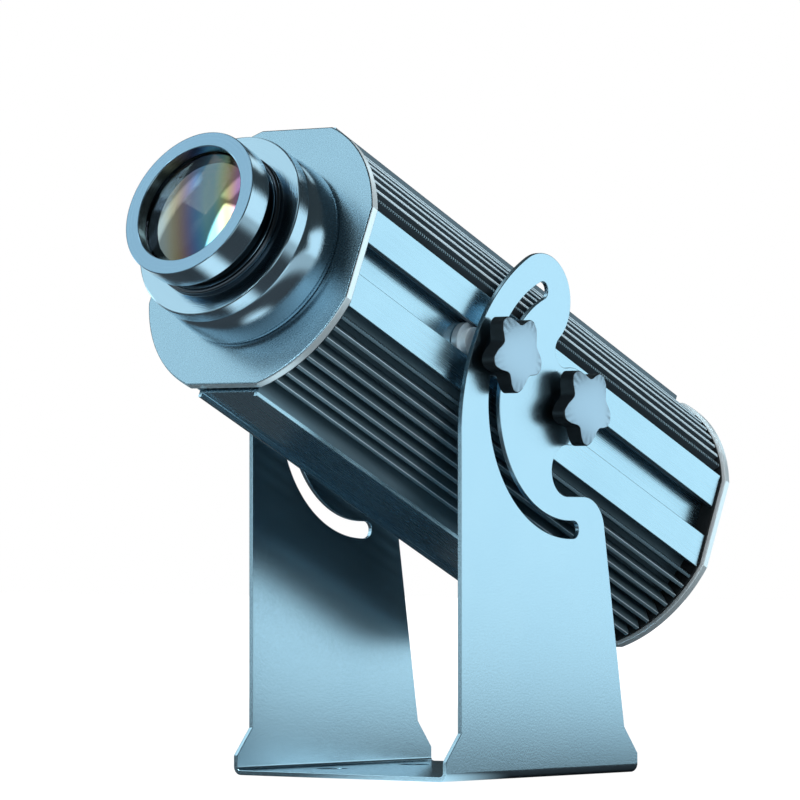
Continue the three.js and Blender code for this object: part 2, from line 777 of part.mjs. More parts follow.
function makeLightSource() {
  const inner = condenserRadius - condenserWall;
  const flange = condenserBack + condenserFlangeThickness;
  const lensBack = condenserBack + condenserLensPlace;
  const holder = turnAhead([
    [inner, condenserBack], [condenserFlange, condenserBack], [condenserFlange, flange], [condenserRadius, flange],
    [condenserRadius, condenserFront], [inner, condenserFront], [inner, lensBack],
    [inner - condenserSeat, lensBack], [inner - condenserSeat, lensBack - condenserSeat], [inner, lensBack - condenserSeat],
  ], roundSteps);
  const lensSeat = lensBack + seatGap;
  const secondBack = condenserFront - condenserLensEdge;
  return [
    part('led_module', blockAhead(ledSize, ledSize, condenserBack, condenserBack + ledThickness), finish.lamp),
    part('condenser_holder', holder, finish.aluminium),
    makeLens('condenser_lens_rear', inner - seatGap, lensSeat, condenserLensEdge, condenserLensBulge, 0),
    makeLens('condenser_lens_front', inner - seatGap, secondBack, condenserLensEdge, 0, condenserLensBulge),
  ];
}

// Gobo stage

// Straight-sided teeth. With 40 and 10 of them, a ring tooth points up where the pinion has a gap facing down.
function gearShape(teeth, bore) {
  const pitchRadius = (gearModule * teeth) / 2;
  const tip = pitchRadius + addendumShare * gearModule;
  const root = pitchRadius - dedendumShare * gearModule;
  const pitch = (2 * Math.PI) / teeth;
  const flank = [[root, toothRootShare], [tip, toothTipShare]];
  const points = [];
  for (let tooth = 0; tooth < teeth; tooth += 1) {
    const middle = tooth * pitch;
    for (const [radius, share] of flank) {
      points.push(new THREE.Vector2(radius * Math.cos(middle - share * pitch), radius * Math.sin(middle - share * pitch)));
    }
    for (const [radius, share] of [...flank].reverse()) {
      points.push(new THREE.Vector2(radius * Math.cos(middle + share * pitch), radius * Math.sin(middle + share * pitch)));
    }
  }
  const shape = new THREE.Shape(points);
  shape.holes.push(ovalPath(bore, bore, roundSteps));
  return shape;
}

const pinionPlace = (gearModule * (ringGearTeeth + pinionTeeth)) / 2;

function makeCarrier() {
  const front = carrierFront;
  const plate = new THREE.Shape(ovalPath(boreAcross - seatGap, boreUp - seatGap).getPoints());
  plate.holes.push(ovalPath(collarBore, collarBore));
  plate.holes.push(circlePath(0, pinionPlace, motorBossRadius + seatGap));
  const collar = ringAhead(collarBore, collarRadius, carrierBack, front + seatGap + collarLength);
  return part('gobo_carrier', extrudeAhead(plate, carrierBack, front).add(collar), finish.aluminium);
}

function makeRingGear() {
  const back = carrierFront + seatGap;
  const front = back + gearThickness;
  const toothed = extrudeAhead(gearShape(ringGearTeeth, collarRadius + runGap), back, front);
  const lip = ringAhead(goboWindow, collarRadius + overrun, front - gearLip + seatGap, front);
  const rim = ringAhead(goboRadius + seatGap, gearRimRadius, front - overrun, front + gearRimHeight);
  return part('gobo_ring_gear', joined([toothed, lip, rim]), finish.brass);
}

function makeGobo() {
  const back = carrierFront + gearThickness + 2 * seatGap;
  const keeperBack = back + goboThickness + seatGap;
  const keeper = ringAhead(goboWindow, goboRadius, keeperBack, keeperBack + goboKeeperThickness);
  return [
    part('gobo_glass', rodAhead(goboRadius, back, back + goboThickness, roundSteps), finish.glass),
    part('gobo_keeper_ring', keeper, finish.steel),
  ];
}

function makeMotor() {
  const front = carrierBack - seatGap;
  const gearBack = carrierFront + seatGap;
  const gearFront = gearBack + gearThickness;
  const shaftBack = front - motorLength / 2;
  const can = rodAhead(motorRadius, front - motorLength, front, roundSteps / 2);
  const boss = rodAhead(motorBossRadius, front - overrun, front + carrierThickness / 2);
  const bore = rodAhead(motorShaftRadius + runGap, shaftBack - seatGap, front + carrierThickness);
  const shaft = rodAhead(motorShaftRadius, shaftBack, gearFront, smallSteps / 2);
  const toothed = extrudeAhead(gearShape(pinionTeeth, motorShaftRadius + seatGap / 2), gearBack, gearFront);
  const pinion = part('motor_pinion', toothed, finish.brass);
  return at(0, 0, pinionPlace, part('gobo_motor', can.add(boss).subtract(bore), finish.steel),
    part('motor_shaft', shaft, finish.steel), pinion);
}

// Driver, tray and fan

function makeTray() {
  const half = ovalAcrossAt(boreAcross, boreUp, trayDrop + trayThickness) - seatGap;
  const tray = blockAhead(2 * half, trayThickness, trayToRear - headRear, fanFront);
  return at(0, 0, -trayDrop - trayThickness / 2, part('driver_tray', tray, finish.aluminium));
}

function makeDriver() {
  const [half, up] = [driverWidth / 2 - driverRound, driverHeight / 2 - driverRound];
  const shape = new THREE.Shape();
  shape.absarc(half, up, driverRound, 0, Math.PI / 2, false);
  shape.absarc(-half, up, driverRound, Math.PI / 2, Math.PI, false);
  shape.absarc(-half, -up, driverRound, Math.PI, 1.5 * Math.PI, false);
  shape.absarc(half, -up, driverRound, 1.5 * Math.PI, 2 * Math.PI, false);
  const body = extrudeAhead(shape, driverToRear - headRear, fanBack - driverToFan, { curveSegments: bendSteps });
  return at(0, 0, seatGap + driverHeight / 2 - trayDrop, part('led_driver', body, finish.driverCase));
}

function makeFanFrame() {
  const half = fanSize / 2;
  const shape = new THREE.Shape();
  const inner = half - fanCorner;
  shape.absarc(inner, inner, fanCorner, 0, Math.PI / 2, false);
  shape.absarc(-inner, inner, fanCorner, Math.PI / 2, Math.PI, false);
  shape.absarc(-inner, -inner, fanCorner, Math.PI, 1.5 * Math.PI, false);
  shape.absarc(inner, -inner, fanCorner, 1.5 * Math.PI, 2 * Math.PI, false);
  shape.holes.push(ovalPath(fanBoreRadius, fanBoreRadius, ringSteps / 2));
  const frame = extrudeAhead(shape, fanBack, fanFront, { curveSegments: bendSteps });
  const post = rodAhead(motorShaftRadius, fanBack, fanBack + fanThickness / 2);
  const disc = rodAhead(fanHubRadius, fanBack, fanBack + fanStrutThickness, roundSteps / 2);
  const across = blockAhead(2 * fanBoreRadius + overrun, fanStrutWidth, fanBack, fanBack + fanStrutThickness);
  const upright = blockAhead(fanStrutWidth, 2 * fanBoreRadius + overrun, fanBack, fanBack + fanStrutThickness);
  return part('fan_frame', joined([frame, disc, across, upright, post]), finish.plastic);
}

function makeFanRotor() {
  const back = fanBack + fanStrutThickness + runGap;
  const front = fanFront - runGap;
  const tip = fanBoreRadius - 2 * runGap;
  const hub = ringAhead(motorShaftRadius + runGap, fanHubRadius, back, front, roundSteps / 2);
  const span = front - back;
  const bladeLength = (span - 2 * runGap) * Math.cos(fanBladePitch);
  const geometry = new THREE.BoxGeometry(tip - fanHubRadius + overrun, bladeLength, fanBladeThickness);
  geometry.rotateX(fanBladePitch);
  geometry.translate((tip + fanHubRadius - overrun) / 2, -(back + front) / 2, 0);
  const blades = Array.from({ length: fanBladeCount }, (_, blade) =>
    solidFrom(geometry.clone().rotateY((2 * Math.PI * blade) / fanBladeCount)));
  const reach = rodAhead(tip, back, front, ringSteps / 2);
  return part('fan_rotor', joined([hub, ...blades]).intersect(reach), finish.plastic);
}

// Cable gland

function hexRod(radius, back, front) {
  return rodAhead(radius, back, front, 6);
}

function makeGland() {
  const hexFront = rearPlateBack - seatGap;
  const hexBack = hexFront - glandHexHeight;
  const capFront = hexBack - seatGap;
  const capBack = capFront - glandCapHeight;
  const threadFront = rearPlateFront + glandThreadLength;
  const threadBack = capFront - glandCapHeight / 2;
  const bore = rodAhead(glandBore, capBack - overrun, threadFront + overrun);
  const thread = rodAhead(glandThreadRadius, threadBack, threadFront, roundSteps / 2);
  const body = hexRod(glandHexRadius, hexBack, hexFront).add(thread).subtract(bore);
  const capWell = glandThreadRadius + seatGap;
  const domeRise = glandDomeShare * glandCapHeight;
  const cap = turnAhead([
    [glandBore, capBack], [glandMouthRadius, capBack], [glandCapRadius, capBack + glandCapHeight - domeRise],
    [glandCapRadius, capFront], [capWell, capFront], [capWell, threadBack - seatGap], [glandBore, threadBack - seatGap],
  ], roundSteps / 2);
  const nutBack = rearPlateFront + seatGap;
  const nut = hexRod(glandNutRadius, nutBack, nutBack + glandNutHeight)
    .subtract(rodAhead(capWell, nutBack - overrun, nutBack + glandNutHeight + overrun, roundSteps / 2));
  return at(0, 0, -glandDrop, part('cable_gland_body', body, finish.plastic),
    part('cable_gland_cap', cap, finish.plastic), part('cable_gland_nut', nut, finish.plastic));
}

// Assembly

function makeHead() {
  const head = new THREE.Group();
  const rearSealBack = -headRear - seatGap - sealThickness;
  head.add(
    makeExtrusion(), makeFrontPlate(), makeSeal('front_seal', headFront + seatGap),
    makeRearPlate(), makeSeal('rear_seal', rearSealBack), ...makeTieRods(), ...makeBoltGroups(),
    makeLensMount(), makeFocusRing(), makeFocusKeeper(), makeBarrel(), makeFrontRing(), ...makeBarrelLenses(),
    makeSpreader(), ...makeLightSource(), makeCarrier(), makeRingGear(), ...makeGobo(), makeMotor(),
    makeTray(), makeDriver(), at(0, 0, -fanDrop, makeFanFrame(), makeFanRotor()), makeGland(),
  );
  head.position.set(0, (footFront - footRear) / 2, pivotHeight);
  head.rotation.x = -restTilt;
  return head;
}

function makeProjector() {
  const projector = new THREE.Group();
  const yoke = makeYoke();
  yoke.position.set(0, (footFront - footRear) / 2, pivotHeight);
  projector.add(yoke, makeHead());
  return projector;
}

export default makeProjector();
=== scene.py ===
"""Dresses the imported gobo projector: a finned aluminium lamp head that tilts in a bent sheet-steel yoke.

Sizes are in millimetres and are turned to metres when a mesh is put in its place. A piece of the head is
built with the lens axis along -Y and the pivot at the origin, so "ahead" is a distance from the pivot towards
the lens.
"""

import json
import logging
import math
from abc import ABC, abstractmethod
from collections.abc import Callable, Iterable, Sequence
from dataclasses import dataclass, field
from enum import Enum, IntEnum

import bmesh
import bpy
from mathutils import Matrix, Vector


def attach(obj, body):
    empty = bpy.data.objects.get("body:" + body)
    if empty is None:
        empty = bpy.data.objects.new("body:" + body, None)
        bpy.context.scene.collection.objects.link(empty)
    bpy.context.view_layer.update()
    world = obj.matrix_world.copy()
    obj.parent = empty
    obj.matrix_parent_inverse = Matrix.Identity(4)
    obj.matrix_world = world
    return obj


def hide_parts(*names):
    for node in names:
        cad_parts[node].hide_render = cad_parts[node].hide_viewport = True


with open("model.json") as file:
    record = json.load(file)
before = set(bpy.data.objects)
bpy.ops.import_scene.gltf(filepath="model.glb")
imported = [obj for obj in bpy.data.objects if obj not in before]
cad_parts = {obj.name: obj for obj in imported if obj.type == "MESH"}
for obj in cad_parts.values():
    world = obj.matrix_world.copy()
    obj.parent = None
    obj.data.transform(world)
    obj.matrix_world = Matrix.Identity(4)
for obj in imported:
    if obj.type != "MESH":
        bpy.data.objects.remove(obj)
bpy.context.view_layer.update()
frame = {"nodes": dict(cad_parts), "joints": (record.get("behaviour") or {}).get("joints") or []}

LOG = logging.getLogger("gobo_projector")
MM = 0.001
FULL_TURN = 2 * math.pi
SEAT_GAP = 0.3  # between pieces that are fixed together
RUN_GAP = 0.35  # between pieces that turn or slide in one another
BEVEL_ANGLE = math.radians(30)  # a sharper edge than this is rounded
SHARP_ANGLE = math.radians(32)  # a sharper edge than this isn't shaded smooth
FLAT_ANGLE = math.radians(0.4)  # faces that meet at less than this lie in one plane
BROAD_SHARE = 5.0  # how many times larger a flat face is than its neighbour where it counts as broad
FACING = 0.9  # the least part of a normal along an axis where its face counts as facing that way
MERGE = 0.001  # points that are closer than this are one
EDGE_FACETS = 3  # across the rounded edge of a plate
NOISE_LOW, NOISE_HIGH = 0.3, 0.7  # most values of a noise texture lie between these
WAVE_LENGTH = FULL_TURN / 20  # of a wave texture whose scale is 1
MIX_LOW, MIX_HIGH, MIX_RESULT = 6, 7, 2  # the numbers of a Mix node's colour sockets

Point = tuple[float, float]
Socket = bpy.types.NodeSocket
Tree = bpy.types.NodeTree
Mesh = bmesh.types.BMesh
Vert, Edge, Face = bmesh.types.BMVert, bmesh.types.BMEdge, bmesh.types.BMFace


class Slot(Enum):
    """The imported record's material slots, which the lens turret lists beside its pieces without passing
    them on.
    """

    YOKE_PAINT = "yoke_paint"
    HOUSING = "housing_metal"
    PLATE = "plate_metal"
    LENS_METAL = "lens_metal"
    STEEL = "steel"
    KNOB = "knob_plastic"
    BLACK_PLASTIC = "black_plastic"
    RUBBER = "seal_rubber"
    GLASS = "lens_glass"


class Side(Enum):
    """The two arms of the yoke; the value is the sign of X."""

    RIGHT = 1
    LEFT = -1


def joint(name: str) -> dict:
    """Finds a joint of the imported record.

    Args:
        name: The joint's name.

    Returns:
        The joint's entry.
    """
    return next(entry for entry in frame["joints"] if entry["name"] == name)


PIVOT = Vector(joint("head_tilt")["pos_m"])
LENS_AXIS = Vector(joint("focus_slide")["axis"])
TILT = math.atan2(LENS_AXIS.z, -LENS_AXIS.y)
YOKE_PLACE = Matrix.Translation(PIVOT) @ Matrix.Scale(MM, 4)
HEAD_PLACE = Matrix.Translation(PIVOT) @ Matrix.Rotation(-TILT, 4, "X") @ Matrix.Scale(MM, 4)


def linear(code: str) -> tuple[float, float, float, float]:
    """Turns an sRGB hex colour to linear light.

    Args:
        code: Six hex digits after a hash.

    Returns:
        Red, green, blue and an alpha of 1.
    """
    slope, knee, offset, power = 12.92, 0.04045, 0.055, 2.4  # of the sRGB curve
    parts = [int(code[place:place + 2], 16) / 255 for place in (1, 3, 5)]
    red, green, blue = (part / slope if part <= knee else ((part + offset) / (1 + offset)) ** power
                        for part in parts)
    return red, green, blue, 1.0


def add_node(tree: Tree, kind: str, settings: dict | None = None,
             inputs: dict | None = None) -> bpy.types.Node:
    """Adds a node with its settings, values and links.

    Args:
        tree: The node tree.
        kind: The node's type name.
        settings: Properties of the node.
        inputs: Values or output sockets by input name or number.

    Returns:
        The new node.
    """
    node = tree.nodes.new(kind)
    for name, value in (settings or {}).items():
        setattr(node, name, value)
    for name, value in (inputs or {}).items():
        if isinstance(value, Socket):
            tree.links.new(value, node.inputs[name])
        else:
            node.inputs[name].default_value = value
    return node


def object_place(tree: Tree, on_head: bool) -> Socket:
    """Gives Object coordinates in metres, turned to the lens axis for a piece of the head.

    Args:
        tree: The node tree.
        on_head: True where the pattern follows the lens axis.

    Returns:
        The socket of the coordinates.
    """
    place = add_node(tree, "ShaderNodeTexCoord").outputs["Object"]
    if not on_head:
        return place
    turned_back = add_node(tree, "ShaderNodeMapping", {"vector_type": "TEXTURE"}, {
        "Vector": place, "Location": PIVOT, "Rotation": (-TILT, 0, 0)})
    return turned_back.outputs["Vector"]


def per_metre(size_mm: float) -> float:
    """Gives the scale of a pattern whose grain has this size."""
    return 1 / (size_mm * MM)


def strongest(tree: Tree, first: Socket, lights: Iterable[Socket | float]) -> Socket:
    """Gives the strongest of several lights.

    Args:
        tree: The node tree.
        first: The first light.
        lights: The others.

    Returns:
        The socket of the strength.
    """
    for light in lights:
        first = add_node(tree, "ShaderNodeMath", {"operation": "MAXIMUM"}, {
            0: first, 1: light}).outputs["Value"]
    return first


def spread(tree: Tree, pattern: Socket, middle: float, width: float) -> Socket:
    """Turns a noise pattern to values round a middle one.

    Args:
        tree: The node tree.
        pattern: The noise.
        middle: The middle of the results.
        width: How far apart most of the results lie.

    Returns:
        The socket of the result.
    """
    node = add_node(tree, "ShaderNodeMapRange", None, {
        "Value": pattern, "From Min": NOISE_LOW, "From Max": NOISE_HIGH,
        "To Min": middle - width / 2, "To Max": middle + width / 2})
    return node.outputs["Result"]


@dataclass(frozen=True)
class Finish(ABC):
    """A finish: what a surface is made of, and how it was made."""

    name: str
    on_head: bool = True

    def material(self) -> bpy.types.Material:
        """Builds the material once and gives it back after that."""
        known = bpy.data.materials.get(self.name)
        if known:
            return known
        material = bpy.data.materials.new(self.name)
        material.use_nodes = True
        tree = material.node_tree
        tree.nodes.clear()
        output = add_node(tree, "ShaderNodeOutputMaterial")
        tree.links.new(self.surface(tree), output.inputs["Surface"])
        return material

    @abstractmethod
    def surface(self, tree: Tree) -> Socket:
        """Builds the shader.

        Args:
            tree: The material's node tree.

        Returns:
            The shader's output socket.
        """


@dataclass(frozen=True, kw_only=True)
class Grained(Finish):
    """A finish with a tone between two shades, and a fine grain that breaks up its reflections."""

    tone: str
    shade: str
    roughness: float
    roughness_spread: float = 0.05
    metallic: float = 1.0
    ior: float = 1.5  # the default, which a metal keeps
    grain_mm: float
    grain_depth: float
    rib_mm: float = 0.0  # the pitch of fine ribs across the lens axis, or 0 for none
    rib_depth: float = 0.6
    # the colour painted into the ribs' grooves, a painted shade
    rib_painted_shade: str = "#1a232b"

    @abstractmethod
    def patterns(self, tree: Tree, place: Socket) -> tuple[Socket, Socket]:
        """Builds the patterns that the shader follows.

        Args:
            tree: The material's node tree.
            place: The coordinates.

        Returns:
            What picks the tone, and the grain, which gives the height and the roughness.
        """

    def surface(self, tree: Tree) -> Socket:
        """Builds the shader on both patterns, with the ribs over them."""
        place = object_place(tree, self.on_head)
        clouds, grain = self.patterns(tree, place)
        tone = add_node(tree, "ShaderNodeMix", {"data_type": "RGBA"}, {
            "Factor": clouds, MIX_LOW: linear(self.shade), MIX_HIGH: linear(self.tone)}).outputs[MIX_RESULT]
        bump = add_node(tree, "ShaderNodeBump", None, {
            "Height": grain, "Strength": self.grain_depth, "Distance": MM}).outputs["Normal"]
        if self.rib_mm:
            ribs = add_node(tree, "ShaderNodeTexWave", {"bands_direction": "Y"}, {
                "Vector": place, "Scale": WAVE_LENGTH * per_metre(self.rib_mm)}).outputs["Fac"]
            # The ribs are pressed in by the bump, and their grooves are also painted dark, a painted shade.
            tone = add_node(tree, "ShaderNodeMix", {"data_type": "RGBA"}, {
                "Factor": ribs, MIX_LOW: linear(self.rib_painted_shade), MIX_HIGH: tone}).outputs[MIX_RESULT]
            bump = add_node(tree, "ShaderNodeBump", None, {
                "Height": ribs, "Strength": self.rib_depth, "Distance": MM, "Normal": bump}).outputs["Normal"]
        shader = add_node(tree, "ShaderNodeBsdfPrincipled", None, {
            "Base Color": tone, "Metallic": self.metallic, "IOR": self.ior, "Normal": bump,
            "Roughness": spread(tree, grain, self.roughness, self.roughness_spread)})
        return shader.outputs["BSDF"]


@dataclass(frozen=True, kw_only=True)
class SatinMetal(Grained):
    """Metal with a satin coat: powder paint on steel, or anodised aluminium.

    The coat is even, so that broad reflections stay soft, and a fine orange peel or grain breaks them up.
    """

    grain_mm: float = 0.9
    grain_depth: float = 0.035
    cloud_mm: float = 45.0
    stretch: float = 1.0  # how many times longer the grain is along the lens axis

    def patterns(self, tree: Tree, place: Socket) -> tuple[Socket, Socket]:
        """Gives broad clouds, and a grain that may be drawn out along the lens axis."""
        clouds = add_node(tree, "ShaderNodeTexNoise", None, {
            "Vector": place, "Scale": per_metre(self.cloud_mm), "Detail": 3.0}).outputs["Fac"]
        drawn = add_node(tree, "ShaderNodeMapping", None, {
            "Vector": place, "Scale": (1, 1 / self.stretch, 1)}).outputs["Vector"]
        grain = add_node(tree, "ShaderNodeTexNoise", None, {
            "Vector": drawn, "Scale": per_metre(self.grain_mm), "Detail": 2.0}).outputs["Fac"]
        return clouds, grain


@dataclass(frozen=True, kw_only=True)
class TurnedMetal(Grained):
    """Aluminium turned on a lathe and anodised: fine rings from the tool run round the lens axis."""

    grain_mm: float = 0.5  # coarser than the real feed, so that it shows
    grain_depth: float = 0.05

    def patterns(self, tree: Tree, place: Socket) -> tuple[Socket, Socket]:
        """Gives rings that follow the radius and the place along the axis, for both."""
        split = add_node(tree, "ShaderNodeSeparateXYZ", None, {"Vector": place})
        flat = add_node(tree, "ShaderNodeCombineXYZ", None, {
            "X": split.outputs["X"], "Z": split.outputs["Z"]}).outputs["Vector"]
        radius = add_node(tree, "ShaderNodeVectorMath", {"operation": "LENGTH"}, {0: flat}).outputs["Value"]
        feed = add_node(tree, "ShaderNodeMath", {"operation": "ADD"}, {
            0: radius, 1: split.outputs["Y"]}).outputs["Value"]
        rings = add_node(tree, "ShaderNodeTexNoise", {"noise_dimensions": "1D"}, {
            "W": feed, "Scale": per_metre(self.grain_mm), "Detail": 2.0}).outputs["Fac"]
        return rings, rings


@dataclass(frozen=True, kw_only=True)
class Moulded(Grained):
    """A moulded polymer: plastic or rubber with the fine pits of a spark-eroded mould."""

    tone: str = "#1b2024"
    shade: str = "#14181b"
    roughness: float = 0.42
    roughness_spread: float = 0.1
    metallic: float = 0.0
    grain_mm: float = 0.6
    grain_depth: float = 0.12

    def patterns(self, tree: Tree, place: Socket) -> tuple[Socket, Socket]:
        """Gives the pits, which are also a slight change of tone."""
        pits = add_node(tree, "ShaderNodeTexNoise", None, {
            "Vector": place, "Scale": per_metre(self.grain_mm), "Detail": 4.0}).outputs["Fac"]
        return pits, pits


@dataclass(frozen=True)
class CoatedGlass(Finish):
    """Optical glass under an anti-reflection coat, a film so thin that it tints what the glass reflects."""

    tone: str = "#e9eef2"
    ior: float = 1.62
    film_ior: float = 1.38
    film_nm: float = 110.0
    film_way: tuple[float, float, float] = (0.94, 0.0, 0.34)  # the direction in which the film grows thicker
    film_steps: tuple[tuple[float, float, float], ...] = ()  # from and to (mm that way), and growth (nm)
    smear_mm: float = 14.0
    smear_roughness: float = 0.03

    def surface(self, tree: Tree) -> Socket:
        """Builds clear glass with a thin film, thicker towards one side, and faint cleaning smears."""
        place = object_place(tree, self.on_head)
        smear = add_node(tree, "ShaderNodeTexNoise", None, {
            "Vector": place, "Scale": per_metre(self.smear_mm), "Detail": 5.0}).outputs["Fac"]
        across = add_node(tree, "ShaderNodeVectorMath", {"operation": "DOT_PRODUCT"}, {
            0: place, 1: self.film_way}).outputs["Value"]
        film: float | Socket = self.film_nm
        for start, end, added in self.film_steps:
            step = add_node(tree, "ShaderNodeMapRange", None, {
                "Value": across, "From Min": start * MM, "From Max": end * MM,
                "To Max": added}).outputs["Result"]
            film = add_node(tree, "ShaderNodeMath", {"operation": "ADD"}, {0: film, 1: step}).outputs["Value"]
        shader = add_node(tree, "ShaderNodeBsdfPrincipled", None, {
            "Base Color": linear(self.tone), "IOR": self.ior, "Transmission Weight": 1.0,
            "Thin Film Thickness": film, "Thin Film IOR": self.film_ior,
            "Roughness": spread(tree, smear, self.smear_roughness / 2, self.smear_roughness)})
        return shader.outputs["BSDF"]


@dataclass(frozen=True)
class Phosphor(Finish):
    """The LED's phosphor under clear silicone: a dull yellow with a faint grid of chips."""

    chip_mm: float = 2.4
    tone: str = "#e2cf5c"
    shade: str = "#d3bd49"
    roughness: float = 0.35
    ior: float = 1.41
    coat: float = 0.4

    def surface(self, tree: Tree) -> Socket:
        """Builds the yellow field with every second chip a little darker."""
        grid = add_node(tree, "ShaderNodeTexChecker", None, {
            "Vector": object_place(tree, self.on_head), "Scale": per_metre(self.chip_mm),
            "Color1": linear(self.tone), "Color2": linear(self.shade)}).outputs["Color"]
        shader = add_node(tree, "ShaderNodeBsdfPrincipled", None, {
            "Base Color": grid, "Roughness": self.roughness, "IOR": self.ior, "Coat Weight": self.coat})
        return shader.outputs["BSDF"]


# Powder paint gives the yoke soft, even reflections with a faint orange peel.
YOKE_COAT = SatinMetal("metallic_powder_coated_steel", on_head=False, tone="#c1dae7", shade="#b9d4e3",
                       roughness=0.24, grain_mm=1.1, grain_depth=0.03)
# Extrusion draws the housing's grain out along the fins. Above the middle, between the fins, on the side
# channels' walls and on the top rail's sides, the coat is painted dark and dull, a painted shade.
HOUSING_COAT = SatinMetal("anodised_extruded_aluminium", tone="#c4dfec", shade="#b3d0df", roughness=0.26,
                          grain_mm=0.7, grain_depth=0.04, stretch=60.0)
GAP_PAINTED_SHADE = SatinMetal("anodised_aluminium_between_fins", tone="#66747d", shade="#525f68", roughness=0.38,
                      grain_mm=0.7, stretch=60.0, metallic=0.6)
# Below the middle the painted shade is lighter, as if lit from the floor; it covers the lower gaps, the
# channels' lower walls and the lower fins' outward faces.
LOW_GAP_PAINTED_SHADE = SatinMetal("anodised_aluminium_between_lower_fins", tone="#7b939f", shade="#667f8b",
                          roughness=0.38, grain_mm=0.7, stretch=60.0, metallic=0.5)
# The first fin's edge has real ribs, and their grooves are painted dark, a painted shade.
RIBBED_EDGE_PAINTED_GROOVES = SatinMetal("anodised_ribbed_fin_edge", tone="#bdd6e3", shade="#acc9d9", roughness=0.3,
                         rib_mm=1.7)
# The fins' tips, and the rounded edges of the lower ones, are painted near-white and made less metallic, a
# painted highlight.
FIN_TIP_PAINTED_HIGHLIGHT = SatinMetal("anodised_fin_edges", tone="#dcecf5", shade="#cbdfea", roughness=0.4, metallic=0.4,
                      grain_mm=0.7, stretch=60.0)
# The milled plates are even, and their rims are painted near-white and made less metallic, a painted
# highlight along their edges.
PLATE_COAT = SatinMetal("anodised_milled_aluminium_plate", tone="#9fb7c4", shade="#96aebc", roughness=0.27,
                        roughness_spread=0.02, grain_mm=0.8, grain_depth=0.006)
PLATE_RIM_PAINTED_HIGHLIGHT = SatinMetal("bright_plate_rim", tone="#f6fcff", shade="#eaf6fb", roughness=0.3, metallic=0.6,
                       roughness_spread=0.03, grain_mm=0.8, grain_depth=0.005)
# The lathe leaves the lens turret smooth enough for clear bands of light and dark.
LENS_METAL = TurnedMetal("anodised_turned_aluminium", tone="#c4d8e3", shade="#b3c9d8", roughness=0.14)
DARK_ANODISE = TurnedMetal("dark_anodised_turned_aluminium", tone="#63656b", shade="#4b4e53", roughness=0.22)
# The front ring's forward face is a darker copy of the turned metal, a painted shade.
FRONT_FACE_PAINTED_SHADE = TurnedMetal("anodised_front_rim", tone="#9ab5c8", shade="#8faabe", roughness=0.16)
BLACK_ANODISE = TurnedMetal("black_anodised_turned_aluminium", tone="#20262b", shade="#171c20",
                            roughness=0.35, grain_mm=0.8)
# Plating and blasting leave the small steel pieces bright and slightly cloudy.
ZINC_STEEL = SatinMetal("zinc_plated_steel", tone="#c9ced2", shade="#aeb6bc", roughness=0.24, grain_mm=0.5,
                        cloud_mm=9.0)
SLIDER_METAL = SatinMetal("bead_blasted_slider", tone="#e2eff6", shade="#cfe0ea", roughness=0.36,
                          metallic=0.6, grain_mm=0.5, cloud_mm=9.0)
# The inner metals have no coat: machined ones are plain and bright, and the cast one is dull and coarse.
BARE_ALUMINIUM = SatinMetal("bare_machined_aluminium", tone="#c4c8cb", shade="#a9afb3", roughness=0.34,
                            grain_mm=0.5)
DARK_CAST = SatinMetal("die_cast_driver_case", tone="#8d9498", shade="#787f84", roughness=0.45, grain_mm=1.4,
                       grain_depth=0.12)
GEAR_BRASS = SatinMetal("machined_brass", tone="#d6b56a", shade="#b8954c", roughness=0.28, grain_mm=0.6)
# The knobs are black nylon under a satin metal face, and the other polymers are black and matt.
KNOB_BODY = Moulded("glass_filled_nylon_black", on_head=False, tone="#12171b", shade="#0b0f12")
KNOB_FACE = SatinMetal("satin_knob_face", on_head=False, tone="#b8cede", shade="#adc3d4", roughness=0.3,
                       grain_mm=0.8, grain_depth=0.05, metallic=0.9)
BLACK_NYLON = Moulded("black_nylon")
SEAL_RUBBER = Moulded("epdm_seal_rubber", tone="#191b1d", shade="#0f1112", roughness=0.75, grain_depth=0.2)
# The front lens's coat shows beige on its left, then plum and teal, and its glass is tinted dark grey, a
# painted shade that dims what shows through it; plain glass stays clear.
FRONT_GLASS = CoatedGlass("coated_front_lens_glass", tone="#4a5056", film_nm=74.0,
                          film_steps=((-20.0, 8.0, 111.0), (12.5, 26.0, 82.0)), film_ior=2.05, ior=1.7)
REAR_GLASS = CoatedGlass("coated_rear_lens_glass", film_nm=130.0)
PLAIN_GLASS = CoatedGlass("condenser_glass", ior=1.52)
LED_PHOSPHOR = Phosphor("led_phosphor")


def bevel(bm: Mesh, edges: Sequence[Edge], width: float, segments: int = 2) -> None:
    """Rounds edges.

    Args:
        bm: The mesh.
        edges: Which of its edges.
        width: The bevel's width.
        segments: Facets across it.
    """
    bmesh.ops.bevel(bm, geom=edges, offset=width, offset_type="OFFSET", segments=segments, profile=0.5,
                    affect="EDGES", clamp_overlap=True, material=-1)


def soften(bm: Mesh, width: float, keep: Callable[[Edge], bool] = lambda edge: True) -> None:
    """Rounds the sharp edges of a closed mesh.

    Args:
        bm: The mesh.
        width: The bevel's width.
        keep: Says which sharp edges are rounded.
    """
    bevel(bm, [edge for edge in bm.edges
               if edge.is_manifold and edge.calc_face_angle() > BEVEL_ANGLE and keep(edge)], width)


